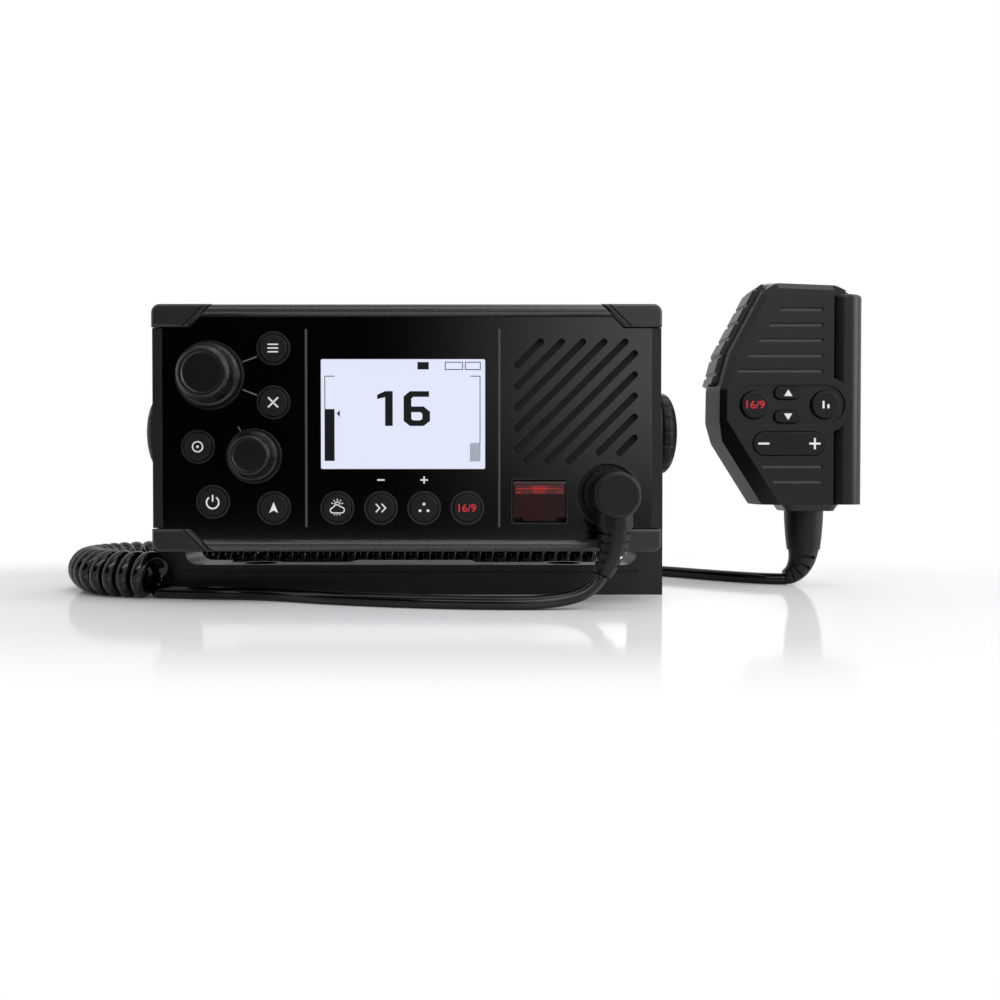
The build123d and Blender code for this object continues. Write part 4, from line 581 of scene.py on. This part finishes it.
def paint_cover_glints():
    """Painted highlights: bright red plates under the hinge of the cover, standing for the glints where it
    catches the light, on a wide low band.
    """
    rows = {44.8: ((-8.8, -6.4, 0.3), (-1.6, 1.6, 0.3), (6.4, 8.8, 0.3)),
            44.1: ((-3.4, 3.4, 0.34),),
            43.3: ((-8.6, -2.6, 0.26), (-2.6, 2.6, 0.62), (2.6, 8.6, 0.26)),
            42.4: ((-2.6, 2.6, 0.3),),
            41.8: ((-8.8, -6.8, 0.3), (-1.9, 1.9, 0.3), (6.8, 8.8, 0.3))}
    painted_glints = [boxed(x0, x1, z - tall / 2, z + tall / 2) for z, row in rows.items() for x0, x1, tall in row]
    cover_middle, glint_y, band_y = (50.05, 0.0), -42.1, -41.99
    # painted highlight: the glints are flat bright red plates, not lit by any lamp
    plates("cover_painted_glints", "distress_cover", red_glint_paint, glint_y, painted_glints, cover_middle, thick=0.15)
    band = [boxed(-9.2, 9.2, 41.3, 45.2)]
    plates("cover_band", "distress_cover", red_glow, band_y, band, cover_middle, thick=0.06)


def line_grooves():
    """The floors of the grooves on the hand piece: each starts a little inside the plate's slanting edge."""
    pitch, inset, half, right, floor_y, slant = 6.55, 3.95, 0.65, 174.6, 13.75, 0.45
    rows = [(119.3 - pitch * i, (157.7, 126.5), (133.1, 91.1), slant) for i in range(5)]
    rows += [(52.2 - pitch * i, (135.1, 66.9), (155.8, 36.9), -slant) for i in range(2)]
    strips = []
    for z, (ax, az), (bx, bz), lean in rows:
        x = bx + (ax - bx) * (z - bz) / (az - bz) + inset
        strips.append(np.array([(x - lean, z - half), (right, z - half),
                                (right, z + half), (x + lean, z + half)]))
    plates("groove_floors", "mic", groove_skin, floor_y, strips, thick=0.2)


def turn_gimbal_knobs():
    """Both hand knobs: a profile of distance along X and radius, turned about the pivot and grooved.

    At each angle the radius loses the groove's depth times how far the angle lies inside a groove
    times the profile's share, which grows over the grip and fades over the crown."""
    pivot_y, pivot_z, grooves, groove_depth = 7.0, 66.1, 18, 0.75
    profile = np.array([
        (82.0, 0.02, 0), (82.0, 4.0, 0), (101.95, 4.0, 0), (102.05, 4.1, 0), (102.05, 15.9, 0.3),
        (102.6, 16.5, 0.8), (103.4, 16.8, 1), (104.4, 16.8, 1), (105.2, 16.65, 1), (106.0, 16.3, 1),
        (106.8, 15.6, 0.9), (107.6, 14.5, 0.6), (108.3, 13.2, 0.25), (108.8, 11.9, 0), (109.2, 10.6, 0),
        (109.5, 9.4, 0), (110.0, 6.0, 0), (110.4, 2.4, 0), (110.5, 0.02, 0),
    ])
    step = np.linspace(0, len(profile) - 1, 4 * len(profile))
    along, radius, share = (np.interp(step, np.arange(len(profile)), row) for row in profile.T)
    turn = np.linspace(0, 2 * math.pi, grooves * 14, endpoint=False)
    into = np.clip((np.cos(grooves * turn) - 0.72) / 0.2, 0, 1)
    r = radius[:, None] - groove_depth * share[:, None] * into[None, :]
    n = len(turn)
    quads = ring_quads(len(along), n)
    for side, name in ((-1, "left_gimbal_knob"), (1, "right_gimbal_knob")):
        x = np.broadcast_to(side * along[:, None], r.shape)
        rows = np.stack([x, pivot_y + r * np.cos(turn), pivot_z + side * r * np.sin(turn)], -1)
        faces = quads[:, ::-1].tolist() + [list(range(n)), [(len(along) - 1) * n + k for k in range(n)][::-1]]
        knob = mesh_of(name + "_cap", rows.reshape(-1, 3) * mm, faces, gimbal_nylon)
        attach(knob, name)
        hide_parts(name)


print_keys()
turn_gimbal_knobs()
draw_display()
paint_cover_glints()
line_grooves()


# ---- floor and light ----
def make_floor():
    """A pale silky floor with the object's shadow and a faint reflection, fading to white away from it."""
    made, tree, out = start_material("pale_silky_floor")
    place = add(tree, "TexCoord").outputs["Object"]
    oval = {"Vector": place, "Location": (-0.02, 0.0, 0.0), "Scale": (0.8, 1.5, 1.0)}
    centre = add(tree, "Mapping", oval).outputs["Vector"]
    away = add(tree, "VectorMath", {0: centre}, operation="LENGTH").outputs["Value"]
    reach = {"Value": away, "From Min": 0.2, "From Max": 0.34}
    fade = add(tree, "MapRange", reach, interpolation_type="SMOOTHSTEP")
    path = add(tree, "LightPath").outputs
    seen = add(tree, "Math", {0: path["Is Camera Ray"], 1: path["Is Transmission Ray"]}, operation="MAXIMUM")
    share = add(tree, "Math", {0: fade.outputs["Result"], 1: seen.outputs["Value"]}, operation="MULTIPLY")
    matt = add(tree, "BsdfDiffuse", {"Color": linear("#e2e3e5")})
    sheen = add(tree, "BsdfGlossy", {"Color": (1, 1, 1, 1), "Roughness": 0.09})
    silk = 0.24
    layers = {0: silk, 1: matt.outputs["BSDF"], 2: sheen.outputs["BSDF"]}
    skin = add(tree, "MixShader", layers).outputs["Shader"]
    white = add(tree, "Emission", {"Color": (1, 1, 1, 1), "Strength": 1.0}).outputs["Emission"]
    mix = add(tree, "MixShader", {0: share.outputs["Value"], 1: skin, 2: white})
    tree.links.new(mix.outputs["Shader"], out.inputs["Surface"])
    near, side, far = -0.42, 1.6, 1.6
    corners = np.array([(-side, near, 0), (side, near, 0), (side, far, 0), (-side, far, 0)])
    mesh_of("floor", corners, [[0, 1, 2, 3]], made, smooth=False)


def make_room():
    """A room that is white behind the object and dim in front of it, with a wide glow high on the right."""
    world = bpy.data.worlds.new("white_room")
    world.use_nodes = True
    tree = world.node_tree
    tree.nodes.clear()
    out = tree.nodes.new("ShaderNodeOutputWorld")
    way = add(tree, "SeparateXYZ", {"Vector": add(tree, "TexCoord").outputs["Generated"]}).outputs

    def ramp(value, start, end, low, high):
        """Low up to start, high from end on, and a smooth step between them."""
        return add(tree, "MapRange", {"Value": value, "From Min": start, "From Max": end, "To Min": low,
                                      "To Max": high}, interpolation_type="SMOOTHSTEP").outputs["Result"]

    def both(one, other, operation):
        """One sum, product or larger value of two."""
        return add(tree, "Math", {0: one, 1: other}, operation=operation).outputs["Value"]

    wide = both(ramp(way["X"], -0.08, 0.22, 0.0, 1.75), ramp(way["X"], 0.2, 0.34, 1.0, 0.55), "MULTIPLY")
    glow = both(wide, ramp(way["Z"], -0.08, 0.1, 0.05, 1.0), "MULTIPLY")
    front = both(glow, ramp(way["Z"], 0.3, 0.8, 0.006, 0.3), "ADD")
    behind = ramp(way["Y"], -0.1, 0.3, 0.0, 0.72)
    strength = both(front, behind, "MAXIMUM")
    seen = add(tree, "LightPath").outputs["Is Camera Ray"]
    room = add(tree, "Background", {"Color": (1, 1, 1, 1), "Strength": strength})
    white = add(tree, "Background", {"Color": (1, 1, 1, 1), "Strength": 1.0})
    mix = add(tree, "MixShader", {0: seen, 1: room.outputs["Background"], 2: white.outputs["Background"]})
    tree.links.new(mix.outputs["Shader"], out.inputs["Surface"])
    bpy.context.scene.world = world


def make_lamps():
    """Soft boxes above, in front and at both sides, each turned to the object: place, size and watts."""
    target = Vector((0, 0, 0.06))
    boxes = [
        ("soft_box_above", (0.0, -0.15, 0.85), (1.1, 0.4), 1.2),
        ("strip_box_front", (0.1, -1.15, 0.7), (1.7, 0.22), 4.6),
        ("soft_box_left", (-0.95, -0.2, 0.5), (0.5, 1.0), 1.6),
        ("soft_box_right", (1.0, -0.2, 0.45), (0.45, 0.9), 4.4),
    ]
    for name, spot, size, power in boxes:
        light = bpy.data.lights.new(name, "AREA")
        light.shape = "RECTANGLE"
        light.size, light.size_y = size
        light.energy = power
        holder = bpy.data.objects.new(name, light)
        holder.location = spot
        holder.rotation_euler = (target - Vector(spot)).to_track_quat("-Z", "Y").to_euler()
        bpy.context.scene.collection.objects.link(holder)


make_floor()
make_room()
make_lamps()
bpy.context.scene.view_settings.view_transform = "Standard"
